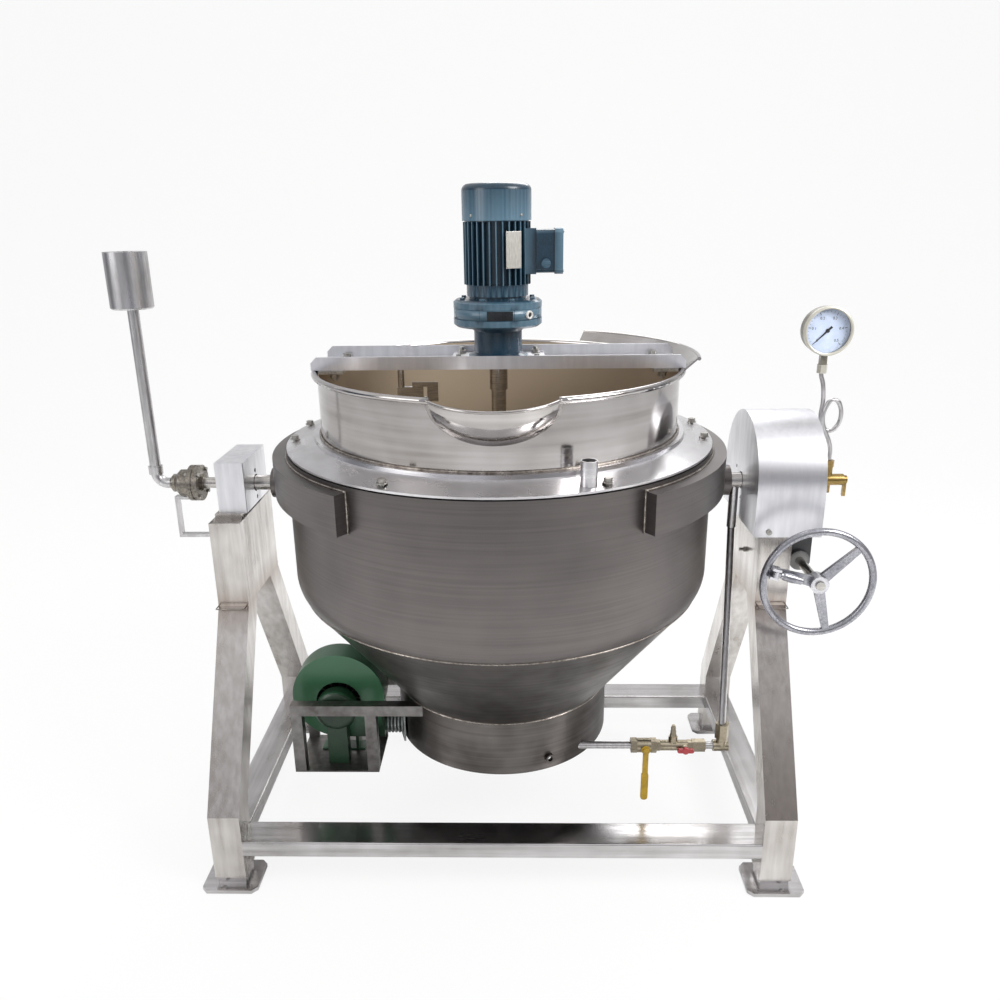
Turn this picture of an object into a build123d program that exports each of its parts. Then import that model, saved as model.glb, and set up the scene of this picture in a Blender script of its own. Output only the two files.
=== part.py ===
from build123d import *
import math
import os

os.makedirs("parts", exist_ok=True)

# ---------------------------------------------------------------- driving dimensions (mm)
# Frame: origin on the floor under the bowl axis, +X to the gear side, -Y to the pouring side, +Z up.
tilt_z = 980            # height of the trunnion axis, which runs along X

# pot and jacket
pot_radius = 450        # inside radius of the cooking pot
pot_wall = 3
pot_bottom_centre_z = 1000
rim_z = 1287            # centre of the rolled bead
bead_radius = 7.5
jacket_radius = 543
jacket_wall = 4
jacket_top_z = 1103
knuckle_z = 780         # where the jacket wall starts to curve in
knuckle_radius = 90
deck_plate = 5
gasket_thickness = 3
dish_bottom_z = 500
skirt_wall = 3

# burner housing and its fan
burner_radius = 293
burner_top_z = 425
burner_bottom_z = 275
blower_axis = (-447, 402)     # X and Z of the fan scroll
scroll_radius = 126
scroll_front_y = -125
scroll_depth = 70
shaft_drop = 18               # the fan shaft lies this far below the middle of the scroll
blower_motor_radius = 56
blower_motor_length = 53
bracket_front_y = -208
bracket_floor_z = 219
bracket_tube = 30
outlet_radius = 35

# stand
leg_inner_x = 660
leg_width = 80
column_half = 142             # half the depth of the bearing columns
column_bottom_z = 684
column_top_z = 914
knee_y = 392
knee_z = 214
leg_depth = 75
leg_bottom_z = 28
tube_wall = 3
beam_depth = 84
beam_height = 44
beam_top_z = 139
foot_length = 144
foot_width = 112
foot_thickness = 10
foot_hole_radius = 6
foot_hole_x = 715
foot_hole_y = 403

# bearings and drive on the tilt axis
shaft_radius = 20
shaft_bore = 13
nose_radius = 14.5
bearing_running_gap = 0.05
pillow_width = 34
base_plate = 13
guard_half = 165              # half depth and top radius of the gear guard
guard_inner_x = 636
guard_outer_x = 803
guard_bottom_z = 880
guard_top_z = 1167
sheet = 2
wheel_x = 770                 # plane of the worm wheel
wheel_width = 30
gear_module = 3
wheel_teeth = 105
worm_z = 800
handwheel_y = -262
handwheel_radius = 131        # to the middle of the rim
handwheel_rim = 9

# stirrer
coupling_radius = 21
stirrer_radius = 19
arm_radius = 418
arm_top_z = 1130
arm_section = 12
beam_half_length = 456
beam_half_width = 100
channel_wall = 5
channel_height = 32
motor_radius = 76

# pressure gauge and expansion tank
gauge_radius = 61
tank_radius = 52
tank_x = -918

gap = 0.3                     # clearance where a piece seats against another

# ---------------------------------------------------------------- worked-out sizes
leg_outer_x = leg_inner_x + leg_width
pot_outer = pot_radius + pot_wall
bead_circle = pot_outer + bead_radius - 0.5
bead_top_z = rim_z + bead_radius
deck_bottom_z = jacket_top_z + gasket_thickness
pitch_radius = gear_module * wheel_teeth / 2
worm_pitch_radius = (tilt_z - worm_z) - pitch_radius
saddle_outer = 604
column_x = leg_inner_x + leg_width / 2


def save(builder, node):
    """Name one finished piece and write it as a STEP file."""
    builder.part.label = node
    export_step(builder.part, f"parts/{node}.step")


def along_x(x):
    """A plane square to X at x, whose own x and y are the model's Y and Z."""
    return Plane(origin=(x, 0, 0), x_dir=(0, 1, 0), z_dir=(1, 0, 0))


def along_y(y):
    """A plane square to Y at y, whose own x and y are the model's X and Z."""
    return Plane(origin=(0, y, 0), x_dir=(1, 0, 0), z_dir=(0, -1, 0))


# ================================================================ STAND
leg_side = [
    (-column_half, column_bottom_z),
    (-knee_y, knee_z),
    (-knee_y, leg_bottom_z),
    (-knee_y + leg_depth, leg_bottom_z),
    (-knee_y + leg_depth, knee_z - 6),
    (-column_half + leg_depth + 6, column_bottom_z),
]


def build_leg_pair(direction):
    """Two bent box-section legs, one each side; direction 1 is the front pair, -1 the rear."""
    side = [(direction * y, z) for y, z in leg_side]
    with BuildPart() as legs:
        for left_edge in (-leg_outer_x, leg_inner_x):
            with BuildSketch(along_x(left_edge)):
                with BuildLine():
                    Polyline(*side, close=True)
                make_face()
            extrude(amount=leg_width)
            with BuildSketch(along_x(left_edge + tube_wall)):
                with BuildLine():
                    Polyline(*side, close=True)
                make_face()
                offset(amount=-tube_wall, mode=Mode.REPLACE)
            extrude(amount=leg_width - 2 * tube_wall, mode=Mode.SUBTRACT)
    return legs


front_legs = build_leg_pair(1)
rear_legs = build_leg_pair(-1)
save(front_legs, "front_legs")
save(rear_legs, "rear_legs")

# Bearing columns: welded boxes with an open underside and a thick plate on top; the right one
# also has stand-off blocks that the gear guard is screwed to.
with BuildPart() as columns:
    for centre in (-column_x, column_x):
        with BuildSketch(Plane.XY.offset(column_bottom_z)):
            with Locations((centre, 0)):
                Rectangle(leg_width, 2 * column_half)
        extrude(amount=column_top_z - column_bottom_z)
        with BuildSketch(Plane.XY.offset(column_bottom_z)):
            with Locations((centre, 0)):
                Rectangle(leg_width - 2 * tube_wall, 2 * (column_half - tube_wall))
        extrude(amount=column_top_z - column_bottom_z - tube_wall, mode=Mode.SUBTRACT)
        with BuildSketch(Plane.XY.offset(column_top_z)):
            with Locations((centre, 0)):
                Rectangle(leg_width - 12, 2 * column_half - 70)
        extrude(amount=base_plate)
    block_depth = guard_half - sheet - gap - column_half
    for direction in (-1, 1):
        with BuildSketch(Plane.XY.offset(guard_bottom_z + 4)):
            with Locations((column_x, direction * (column_half + block_depth / 2))):
                Rectangle(leg_width - 20, block_depth)
        extrude(amount=20)
save(columns, "columns")

# Cross beams between the legs, and side rails between front and rear legs: flat box tube.
for node, middle_y in (("front_beam", -knee_y + beam_depth / 2), ("rear_beam", knee_y - beam_depth / 2)):
    with BuildPart() as beam:
        with BuildSketch(along_x(-leg_inner_x)):
            with Locations((middle_y, beam_top_z - beam_height / 2)):
                RectangleRounded(beam_depth, beam_height, 5)
                RectangleRounded(beam_depth - 2 * tube_wall, beam_height - 2 * tube_wall, 2,
                                 mode=Mode.SUBTRACT)
        extrude(amount=2 * leg_inner_x)
    save(beam, node)

rail_half = knee_y - leg_depth
with BuildPart() as side_rails:
    with BuildSketch(along_y(rail_half)):
        with Locations((-column_x, beam_top_z - beam_height / 2), (column_x, beam_top_z - beam_height / 2)):
            RectangleRounded(leg_width, beam_height, 5)
            RectangleRounded(leg_width - 2 * tube_wall, beam_height - 2 * tube_wall, 2, mode=Mode.SUBTRACT)
    extrude(amount=2 * rail_half)
save(side_rails, "side_rails")

# Foot plates with clipped corners, a spacer block under each leg and one anchor-bolt hole each.
with BuildPart() as foot_plates:
    stub_y = knee_y - leg_depth / 2
    for sx in (-1, 1):
        for sy in (-1, 1):
            plate_y = sy * (foot_hole_y + 13 - foot_width / 2)
            with BuildSketch():
                with Locations((sx * column_x, plate_y)):
                    plate_outline = Rectangle(foot_length, foot_width)
                chamfer(plate_outline.vertices(), 14)
                with Locations((sx * foot_hole_x, sy * foot_hole_y)):
                    Circle(foot_hole_radius, mode=Mode.SUBTRACT)
            extrude(amount=foot_thickness)
            with BuildSketch(Plane.XY.offset(foot_thickness)):
                with Locations((sx * column_x, sy * stub_y)):
                    Rectangle(leg_width - 8, leg_depth - 8)
            extrude(amount=leg_bottom_z - foot_thickness)
save(foot_plates, "foot_plates")

# Left bearing box: a folded cover over the pillow block, open underneath.
box_width = 74
box_half = 96
box_top_z = 1060
box_wall = 3
block_bottom_z = column_top_z + base_plate
box_x = -689
with BuildPart() as bearing_box:
    with BuildSketch(Plane.XY.offset(block_bottom_z)):
        with Locations((box_x, 0)):
            Rectangle(box_width, 2 * box_half)
    extrude(amount=box_top_z - block_bottom_z)
    fillet(bearing_box.edges().filter_by(Axis.Z), 2)
    with BuildSketch(Plane.XY.offset(block_bottom_z)):
        with Locations((box_x, 0)):
            Rectangle(box_width - 2 * box_wall, 2 * (box_half - box_wall))
    extrude(amount=box_top_z - block_bottom_z - box_wall, mode=Mode.SUBTRACT)
    with BuildSketch(along_x(box_x - box_width)):
        with Locations((0, tilt_z)):
            Circle(shaft_radius + 3)
    extrude(amount=2 * box_width, mode=Mode.SUBTRACT)
    with BuildSketch(along_x(box_x)):
        with Locations((0, tilt_z + 34), (0, tilt_z - 38)):
            Circle(6)
    extrude(amount=box_width, mode=Mode.SUBTRACT)
save(bearing_box, "bearing_box")

# Pillow blocks that carry the trunnions: a foot with two bolts and a round housing.
with BuildPart() as pillow_blocks:
    for centre in (box_x, column_x - 14):
        with BuildSketch(along_x(centre - pillow_width / 2)):
            with Locations((0, block_bottom_z + 8)):
                Rectangle(150, 16)
            with Locations((0, (block_bottom_z + tilt_z) / 2)):
                Rectangle(76, tilt_z - block_bottom_z)
            with Locations((0, tilt_z)):
                Circle(42)
                Circle(shaft_radius + bearing_running_gap, mode=Mode.SUBTRACT)
        extrude(amount=pillow_width)
        with BuildSketch(Plane.XY.offset(block_bottom_z + 16)):
            with Locations((centre, -58), (centre, 58)):
                RegularPolygon(10, 6)
        extrude(amount=9)
save(pillow_blocks, "pillow_blocks")

# Gear guard: a sheet cover with a half-round top, open underneath, over bearing and worm wheel.
guard_arc_z = guard_top_z - guard_half
guard_screw_x = 672
guard_screw_z = 894


def guard_face(x, inset):
    """The guard's side outline at x, shrunk by inset and left open below when it is shrunk."""
    half = guard_half - inset
    low_z = guard_bottom_z - 5 * inset
    with BuildSketch(along_x(x)) as face:
        with BuildLine():
            front = Line((-half, low_z), (-half, guard_arc_z))
            arc = ThreePointArc(front @ 1, (0, guard_top_z - inset), (half, guard_arc_z))
            Polyline(arc @ 1, (half, low_z), front @ 0)
        make_face()
    return face.sketch


with BuildPart() as gear_guard:
    extrude(guard_face(guard_inner_x, 0), amount=guard_outer_x - guard_inner_x)
    extrude(guard_face(guard_inner_x + sheet, sheet), amount=guard_outer_x - guard_inner_x - 2 * sheet,
            mode=Mode.SUBTRACT)
    with BuildSketch(along_x(guard_inner_x - 1)):
        with Locations((0, tilt_z)):
            Circle(shaft_radius + 3)
        with Locations((48, tilt_z + 26), (-8, tilt_z - 44)):
            Circle(5)
    extrude(amount=sheet + 2, mode=Mode.SUBTRACT)
    with BuildSketch(along_x(guard_outer_x - sheet - 1)):
        with Locations((0, tilt_z)):
            Circle(nose_radius + 3)
    extrude(amount=sheet + 2, mode=Mode.SUBTRACT)
    with BuildSketch(along_y(guard_half + 1)):
        with Locations((guard_screw_x, guard_screw_z)):
            Circle(3.3)
    extrude(amount=2 * guard_half + 2, mode=Mode.SUBTRACT)
save(gear_guard, "gear_guard")

# Worm gearbox: a cast trough bolted to the column, open at the top for the worm wheel.
gearbox_half = 112
gearbox_bottom_z = 762
gearbox_inner_x = leg_outer_x + gap
gearbox_outer_x = 800
worm_shaft_radius = 11
worm_tip_radius = worm_pitch_radius + gear_module
pocket_gap = 2.5
with BuildPart() as worm_gearbox:
    with BuildSketch(along_x(gearbox_inner_x)):
        with BuildLine():
            Polyline((-gearbox_half, guard_bottom_z - 4), (-gearbox_half, worm_z - 10),
                     (-55, gearbox_bottom_z), (55, gearbox_bottom_z),
                     (gearbox_half, worm_z - 10), (gearbox_half, guard_bottom_z - 4), close=True)
        make_face()
    extrude(amount=gearbox_outer_x - gearbox_inner_x)
    with BuildSketch(along_y(-gearbox_half)):
        with Locations((wheel_x, worm_z)):
            Circle(26)
    extrude(amount=10)
    with BuildSketch(along_x(wheel_x - wheel_width / 2 - pocket_gap)):
        with Locations((0, tilt_z)):
            Circle(pitch_radius + gear_module + pocket_gap)
    extrude(amount=wheel_width + 2 * pocket_gap, mode=Mode.SUBTRACT)
    with BuildSketch(along_y(42)):
        with Locations((wheel_x, worm_z)):
            Circle(worm_tip_radius + 1)
    extrude(amount=84, mode=Mode.SUBTRACT)
    with BuildSketch(along_y(gearbox_half - 8)):
        with Locations((wheel_x, worm_z)):
            Circle(worm_shaft_radius + bearing_running_gap)
    extrude(amount=2 * gearbox_half + 20, mode=Mode.SUBTRACT)
save(worm_gearbox, "worm_gearbox")

# Rotary joint on the left shaft nose: two bolted flanges round a black gasket, end cap and elbow socket.
joint_inner_x = -790
joint_outer_x = -880
nose_end_x = -806
joint_bolt_circle = 42.3
joint_steps = [
    (joint_inner_x, 21), (-797, 21), (-797, 48), (-809, 48), (-809, 46), (-813, 46), (-813, 48),
    (-825, 48), (-825, 36), (-852, 36), (-864, 24), (-872, 24), (joint_outer_x, 15),
]
with BuildPart() as rotary_joint:
    with BuildSketch(Plane.XZ):
        with BuildLine():
            Polyline(*[(x, tilt_z + r) for x, r in joint_steps], (joint_outer_x, tilt_z),
                     (nose_end_x - 2, tilt_z), (nose_end_x - 2, tilt_z + nose_radius + bearing_running_gap),
                     (joint_inner_x, tilt_z + nose_radius + bearing_running_gap), close=True)
        make_face()
    revolve(axis=Axis((0, 0, tilt_z), (1, 0, 0)))
    with BuildSketch(along_x(joint_inner_x)):
        with Locations((0, tilt_z)):
            with PolarLocations(joint_bolt_circle, 4, start_angle=45):
                Circle(3.3)
    extrude(amount=-40, mode=Mode.SUBTRACT)
save(rotary_joint, "rotary_joint")

# Stay: a bent flat bar from the rotary joint to the column, so that only the shaft turns.
stay_width = 20
stay_thick = 8
stay_x = -866
stay_low_z = 828
stay_top_z = tilt_z - 36 - gap
with BuildPart() as joint_stay:
    with BuildSketch(Plane.XZ.offset(-stay_width / 2)):
        with BuildLine():
            Polyline((stay_x - stay_thick, stay_top_z), (stay_x - stay_thick, stay_low_z),
                     (-leg_outer_x - gap, stay_low_z), (-leg_outer_x - gap, stay_low_z + stay_thick),
                     (stay_x, stay_low_z + stay_thick), (stay_x, stay_top_z - stay_thick),
                     (stay_x + 36, stay_top_z - stay_thick), (stay_x + 36, stay_top_z), close=True)
        make_face()
    extrude(amount=stay_width)
save(joint_stay, "joint_stay")

# Expansion tank: elbow on the joint, a straight pipe up, and an open-necked round tank on top.
pipe_radius = 14
tank_bottom_z = 1438
tank_top_z = 1576
with BuildPart() as expansion_tank:
    with BuildLine():
        rise = Line((tank_x, 0, tank_bottom_z), (tank_x, 0, tilt_z + 30))
        turn = TangentArc(rise @ 1, (tank_x + 30, 0, tilt_z), tangent=rise % 1)
        Line(turn @ 1, (joint_outer_x - gap, 0, tilt_z))
    with BuildSketch(Plane(origin=(tank_x, 0, tank_bottom_z), z_dir=(0, 0, -1))):
        Circle(pipe_radius)
    sweep()
    with BuildSketch(Plane.XY.offset(tilt_z + 26)):
        with Locations((tank_x, 0)):
            Circle(pipe_radius + 4)
    extrude(amount=22)
    with BuildSketch(Plane.XZ):
        with BuildLine():
            Polyline((tank_x, tank_bottom_z), (tank_x + tank_radius - 4, tank_bottom_z),
                     (tank_x + tank_radius, tank_bottom_z + 4), (tank_x + tank_radius, tank_top_z),
                     (tank_x + 20, tank_top_z), (tank_x + 20, tank_top_z - sheet),
                     (tank_x + tank_radius - sheet, tank_top_z - sheet),
                     (tank_x + tank_radius - sheet, tank_bottom_z + 5),
                     (tank_x, tank_bottom_z + 5), close=True)
        make_face()
    revolve(axis=Axis((tank_x, 0, 0), (0, 0, 1)))
save(expansion_tank, "expansion_tank")


# ================================================================ KETTLE
# Cooking pot: straight wall and hemispherical bottom in one sheet, rolled bead, pressed pouring lip.
lip_radius = 165
lip_depth = 119
lip_reach = 515               # how far the lip stands out from the bowl axis
lip_centre_y = -(lip_reach - lip_radius)
lip_drop = 10
splash_radius = 497
splash_top_z = 1317
splash_start = -12            # degrees round from +X
splash_sweep = 72


def pot_face(radius, top):
    """Half section of the solid pot shape: straight wall, then a quarter circle to the axis."""
    with BuildSketch(Plane.XZ) as face:
        with BuildLine():
            wall = Line((radius, top), (radius, pot_bottom_centre_z))
            bottom = CenterArc((0, pot_bottom_centre_z), radius, 0, -90)
            Polyline(bottom @ 1, (0, top), wall @ 0)
        make_face()
    return face.sketch


def lip_bowl(shrink):
    """The pressed valley of the pouring lip: the lower half of a squat ellipsoid below the rim."""
    width, depth = lip_radius - shrink, lip_depth - shrink
    with BuildPart() as bowl:
        with BuildSketch(Plane(origin=(0, lip_centre_y, rim_z), x_dir=(1, 0, 0), z_dir=(0, -1, 0))):
            with BuildLine():
                EllipticalCenterArc((0, 0), width, depth, start_angle=270, arc_size=90)
                Polyline((width, 0), (0, 0), (0, -depth))
            make_face()
        revolve(axis=Axis((0, lip_centre_y, 0), (0, 0, 1)))
    return bowl.part


with BuildPart() as inner_pot:
    revolve(pot_face(pot_outer, rim_z), axis=Axis.Z)
    add(lip_bowl(0))
    with BuildSketch(Plane.XZ):
        with Locations((bead_circle, rim_z)):
            Circle(bead_radius)
    revolve(axis=Axis.Z)
    revolve(pot_face(pot_radius, rim_z + 20), axis=Axis.Z, mode=Mode.SUBTRACT)
    add(lip_bowl(pot_wall), mode=Mode.SUBTRACT)
    with BuildSketch(Plane.XY.offset(rim_z)):
        with Locations((0, lip_centre_y)):
            Circle(lip_radius - pot_wall)
    extrude(amount=20, mode=Mode.SUBTRACT)
    with BuildSketch(along_x(-lip_radius)):
        with BuildLine():
            Polyline((-pot_outer + 12, rim_z), (-lip_reach - 10, rim_z - lip_drop),
                     (-lip_reach - 10, rim_z + 20), (-pot_outer + 12, rim_z + 20), close=True)
        make_face()
    extrude(amount=2 * lip_radius, mode=Mode.SUBTRACT)
    # splash lip: a flared strip with a rolled edge round the right rear of the rim
    with BuildSketch(Plane.XZ.rotated((0, 0, splash_start))):
        with BuildLine():
            Polyline((bead_circle, rim_z - 5), (splash_radius, splash_top_z),
                     (splash_radius - 2, splash_top_z + 3), (bead_circle - 3, rim_z - 2), close=True)
        make_face()
        with Locations((splash_radius, splash_top_z)):
            Circle(4.5)
    revolve(axis=Axis.Z, revolution_arc=splash_sweep)
    with BuildSketch(Plane.XY.offset(bead_top_z)):
        Rectangle(2 * (beam_half_length + 1), 2 * (beam_half_width + 1))
    extrude(amount=60, mode=Mode.SUBTRACT)
save(inner_pot, "inner_pot")

# Deck ring: a shallow cone plate welded round the pot, with a step ring, that closes the jacket.
step_radius = 470
nozzle_at = (196, -474)
nozzle_radius = 18
nozzle_top_z = 1169
step_top_z = 1136
with BuildPart() as deck_ring:
    with BuildSketch(Plane.XZ):
        with BuildLine():
            Polyline((jacket_radius - 2, deck_bottom_z), (jacket_radius - 2, deck_bottom_z + deck_plate),
                     (step_radius + 2, step_top_z - 9), (step_radius, step_top_z), (pot_outer + gap, step_top_z),
                     (pot_outer + gap, step_top_z - 7), (step_radius - 6, step_top_z - 7),
                     (step_radius - 4, step_top_z - 13), (500, deck_bottom_z), close=True)
        make_face()
    revolve(axis=Axis.Z)
    bolt_circle = 521
    bolt_angles = (9, 63, 117, 171, 189, 243, 297, 351)
    with Locations(*[(bolt_circle * math.cos(math.radians(a)), bolt_circle * math.sin(math.radians(a)), 1140)
                     for a in bolt_angles]):
        Hole(5.4)
    with Locations((*nozzle_at, 1140)):
        Hole(nozzle_radius + gap)
save(deck_ring, "deck_ring")

with BuildPart() as jacket_gasket:
    with BuildSketch(Plane.XY.offset(jacket_top_z)):
        Circle(jacket_radius - 8)
        Circle(506, mode=Mode.SUBTRACT)
        with Locations(*[(bolt_circle * math.cos(math.radians(a)), bolt_circle * math.sin(math.radians(a)))
                         for a in bolt_angles]):
            Circle(5.4, mode=Mode.SUBTRACT)
    extrude(amount=gasket_thickness)
save(jacket_gasket, "jacket_gasket")

# Deck bolts: hex heads on washers, shanks through deck, gasket and jacket flange, nuts below.
head_z = 1119
with BuildPart() as deck_bolts:
    for a in bolt_angles:
        x = bolt_circle * math.cos(math.radians(a))
        y = bolt_circle * math.sin(math.radians(a))
        with BuildSketch(Plane.XY.offset(jacket_top_z - 22)):
            with Locations((x, y)):
                Circle(5)
        extrude(amount=head_z - jacket_top_z + 22)
        with BuildSketch(Plane.XY.offset(head_z)):
            with Locations((x, y)):
                Circle(12)
        extrude(amount=2)
        with BuildSketch(Plane.XY.offset(head_z + 2), Plane.XY.offset(jacket_top_z - 18)):
            with Locations((x, y)):
                RegularPolygon(9.5, 6)
        extrude(amount=8)
save(deck_bolts, "deck_bolts")

# Vent nozzle: an open pipe stub, leaning outwards, for filling and venting the jacket.
with BuildPart() as vent_nozzle:
    with BuildSketch(Plane.XY.offset(deck_bottom_z)):
        with Locations(nozzle_at):
            Circle(nozzle_radius)
            Circle(nozzle_radius - 3, mode=Mode.SUBTRACT)
    extrude(amount=nozzle_top_z - deck_bottom_z)
save(vent_nozzle, "vent_nozzle")

# Jacket shell: flange, straight wall, knuckle and dished bottom under the pot.
cone_angle = math.radians(52)
knuckle_centre = jacket_radius - knuckle_radius
knuckle_end = (knuckle_centre + knuckle_radius * math.sin(cone_angle),
               knuckle_z - knuckle_radius * math.cos(cone_angle))
dish_sag = knuckle_end[1] - dish_bottom_z
dish_radius = (knuckle_end[0] ** 2 + dish_sag ** 2) / (2 * dish_sag)


def dish_point(r, thickness):
    """Height of the dish at radius r."""
    depth = math.sqrt(dish_radius ** 2 - r ** 2) - (dish_radius - dish_sag)
    return knuckle_end[1] - depth + thickness


with BuildPart() as jacket_shell:
    with BuildSketch(Plane.XZ):
        with BuildLine():
            wall = Line((jacket_radius, jacket_top_z), (jacket_radius, knuckle_z))
            knuckle = ThreePointArc(
                wall @ 1,
                (knuckle_centre + knuckle_radius * math.cos((math.pi / 2 - cone_angle) / 2),
                 knuckle_z - knuckle_radius * math.sin((math.pi / 2 - cone_angle) / 2)),
                knuckle_end)
            dish = ThreePointArc(knuckle @ 1, (300, dish_point(300, 0)), (0, dish_bottom_z))
            up = Line(dish @ 1, (0, dish_bottom_z + jacket_wall))
            inner_dish = ThreePointArc(up @ 1, (300, dish_point(300, jacket_wall)),
                                       (knuckle_end[0] - 6, dish_point(knuckle_end[0] - 6, jacket_wall)))
            inner_knuckle = ThreePointArc(
                inner_dish @ 1,
                (knuckle_centre + (knuckle_radius - jacket_wall) * math.cos((math.pi / 2 - cone_angle) / 2),
                 knuckle_z - (knuckle_radius - jacket_wall) * math.sin((math.pi / 2 - cone_angle) / 2)),
                (jacket_radius - jacket_wall, knuckle_z))
            inner_wall = Line(inner_knuckle @ 1, (jacket_radius - jacket_wall, jacket_top_z - 8))
            Polyline(inner_wall @ 1, (500, jacket_top_z - 8), (500, jacket_top_z), wall @ 0)
        make_face()
    revolve(axis=Axis.Z)
    with Locations(*[(bolt_circle * math.cos(math.radians(a)), bolt_circle * math.sin(math.radians(a)),
                      jacket_top_z) for a in bolt_angles]):
        Hole(5.4, depth=10)
save(jacket_shell, "jacket_shell")

# Cone skirt: the flue cone from the knuckle down to the burner housing.
skirt_top = (knuckle_end[0] + gap, knuckle_end[1] - 1)
skirt_inner = skirt_top[0] - skirt_wall - 2
with BuildPart() as cone_skirt:
    with BuildSketch(Plane.XZ):
        with BuildLine():
            Polyline((skirt_top[0], skirt_top[1]), (burner_radius, burner_top_z),
                     (burner_radius - skirt_wall - 2, burner_top_z),
                     (skirt_inner, dish_point(skirt_inner, 0) - 2 * gap), close=True)
        make_face()
    revolve(axis=Axis.Z)
save(cone_skirt, "cone_skirt")

# Burner housing: a plain cylinder open at the bottom, with a hole for the ignition port.
port_plane = Plane(origin=(0, 0, 307), x_dir=(0, 0, 1),
                   z_dir=(math.cos(math.radians(-64.5)), math.sin(math.radians(-64.5)), 0))
port_radius = 12
with BuildPart() as burner_housing:
    with BuildSketch(Plane.XY.offset(burner_bottom_z)):
        Circle(burner_radius)
        Circle(burner_radius - skirt_wall, mode=Mode.SUBTRACT)
    extrude(amount=burner_top_z - burner_bottom_z)
    with BuildSketch(port_plane.offset(burner_radius - 30)):
        Circle(port_radius + gap)
    extrude(amount=60, mode=Mode.SUBTRACT)
save(burner_housing, "burner_housing")

# Ignition port: a short tube through the wall of the housing.
with BuildPart() as ignition_port:
    with BuildSketch(port_plane.offset(burner_radius - skirt_wall)):
        Circle(port_radius)
        Circle(7, mode=Mode.SUBTRACT)
    extrude(amount=skirt_wall + 8)
save(ignition_port, "ignition_port")

# Gas burner inside the housing: a cast ring with flame ports on a crossed bracket.
with BuildPart() as gas_burner:
    with BuildSketch(Plane.XY.offset(330)):
        Circle(190)
        Circle(150, mode=Mode.SUBTRACT)
        with PolarLocations(170, 24):
            Circle(5, mode=Mode.SUBTRACT)
    extrude(amount=26)
    with BuildSketch(Plane.XY.offset(306)):
        Rectangle(2 * burner_radius, 24)
        Rectangle(24, 2 * burner_radius)
        Circle(burner_radius - skirt_wall - 0.6, mode=Mode.INTERSECT)
    extrude(amount=24)
save(gas_burner, "gas_burner")

# Saddles: curved bands welded to the jacket, each with a round boss that carries the trunnion.
saddle_top_z = 1091
saddle_height = 93
saddle_angle = 54
band_outer = 577
boss_radius = 40
with BuildPart() as saddles:
    reach = 1200
    tip = reach * math.tan(math.radians(saddle_angle))
    for sign in (1, -1):
        with BuildSketch(Plane.XY.offset(saddle_top_z)):
            Circle(band_outer)
            with BuildLine():
                Polyline((0, 0), (sign * reach, tip), (sign * reach, -tip), close=True)
            make_face(mode=Mode.INTERSECT)
        extrude(amount=-saddle_height)
        with BuildSketch(along_x(sign * 500)):
            with Locations((0, tilt_z)):
                Circle(boss_radius)
        extrude(amount=sign * (saddle_outer - 500))
    with BuildSketch(Plane.XY.offset(saddle_top_z)):
        Circle(jacket_radius + gap)
    extrude(amount=-300, mode=Mode.SUBTRACT)
save(saddles, "saddles")

# Left trunnion: a hollow shaft from the saddle through the bearing to the rotary joint.
with BuildPart() as trunnion_left:
    with BuildSketch(along_x(-saddle_outer - gap)):
        with Locations((0, tilt_z)):
            Circle(shaft_radius)
    extrude(amount=-132)
    with BuildSketch(along_x(-saddle_outer - 132)):
        with Locations((0, tilt_z)):
            Circle(nose_radius)
    extrude(amount=-(-nose_end_x - saddle_outer - 132))
    with BuildSketch(along_x(nose_end_x)):
        with Locations((0, tilt_z)):
            Circle(10)
    extrude(amount=180, mode=Mode.SUBTRACT)
save(trunnion_left, "trunnion_left")

# Right trunnion: shaft through bearing and worm wheel, with a nose for the gas and gauge fitting.
nose_right_x = 822
with BuildPart() as trunnion_right:
    with BuildSketch(along_x(saddle_outer + gap)):
        with Locations((0, tilt_z)):
            Circle(shaft_radius)
    extrude(amount=790 - saddle_outer)
    with BuildSketch(along_x(790)):
        with Locations((0, tilt_z)):
            Circle(nose_radius)
    extrude(amount=nose_right_x - 790)
    with BuildSketch(along_x(nose_right_x)):
        with Locations((0, tilt_z)):
            Circle(8)
    extrude(amount=-180, mode=Mode.SUBTRACT)
save(trunnion_right, "trunnion_right")

# Worm wheel: full gear keyed on the right trunnion.
tooth_angle = 360 / wheel_teeth
root_radius = pitch_radius - 1.25 * gear_module
tip_radius = pitch_radius + gear_module
half_root = math.radians(tooth_angle * 0.32)
half_tip = math.radians(tooth_angle * 0.14)
hub_radius = 44
web_recess = 9
tooth_outline = [
    ((root_radius - 1) * math.cos(half_root), -(root_radius - 1) * math.sin(half_root)),
    (tip_radius * math.cos(half_tip), -tip_radius * math.sin(half_tip)),
    (tip_radius * math.cos(half_tip), tip_radius * math.sin(half_tip)),
    ((root_radius - 1) * math.cos(half_root), (root_radius - 1) * math.sin(half_root)),
]
with BuildPart() as worm_wheel:
    with BuildSketch(along_x(wheel_x - wheel_width / 2)):
        with Locations((0, tilt_z)):
            Circle(root_radius)
            with PolarLocations(0, wheel_teeth):
                Polygon(*tooth_outline, align=None)
            Circle(shaft_radius + gap, mode=Mode.SUBTRACT)
            with PolarLocations(92, 6, start_angle=30):
                Circle(24, mode=Mode.SUBTRACT)
    extrude(amount=wheel_width)
    for face_x in (wheel_x - wheel_width / 2, wheel_x + wheel_width / 2 - web_recess):
        with BuildSketch(along_x(face_x)):
            with Locations((0, tilt_z)):
                Circle(root_radius - 14)
                Circle(hub_radius, mode=Mode.SUBTRACT)
        extrude(amount=web_recess, mode=Mode.SUBTRACT)
save(worm_wheel, "worm_wheel")

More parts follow.
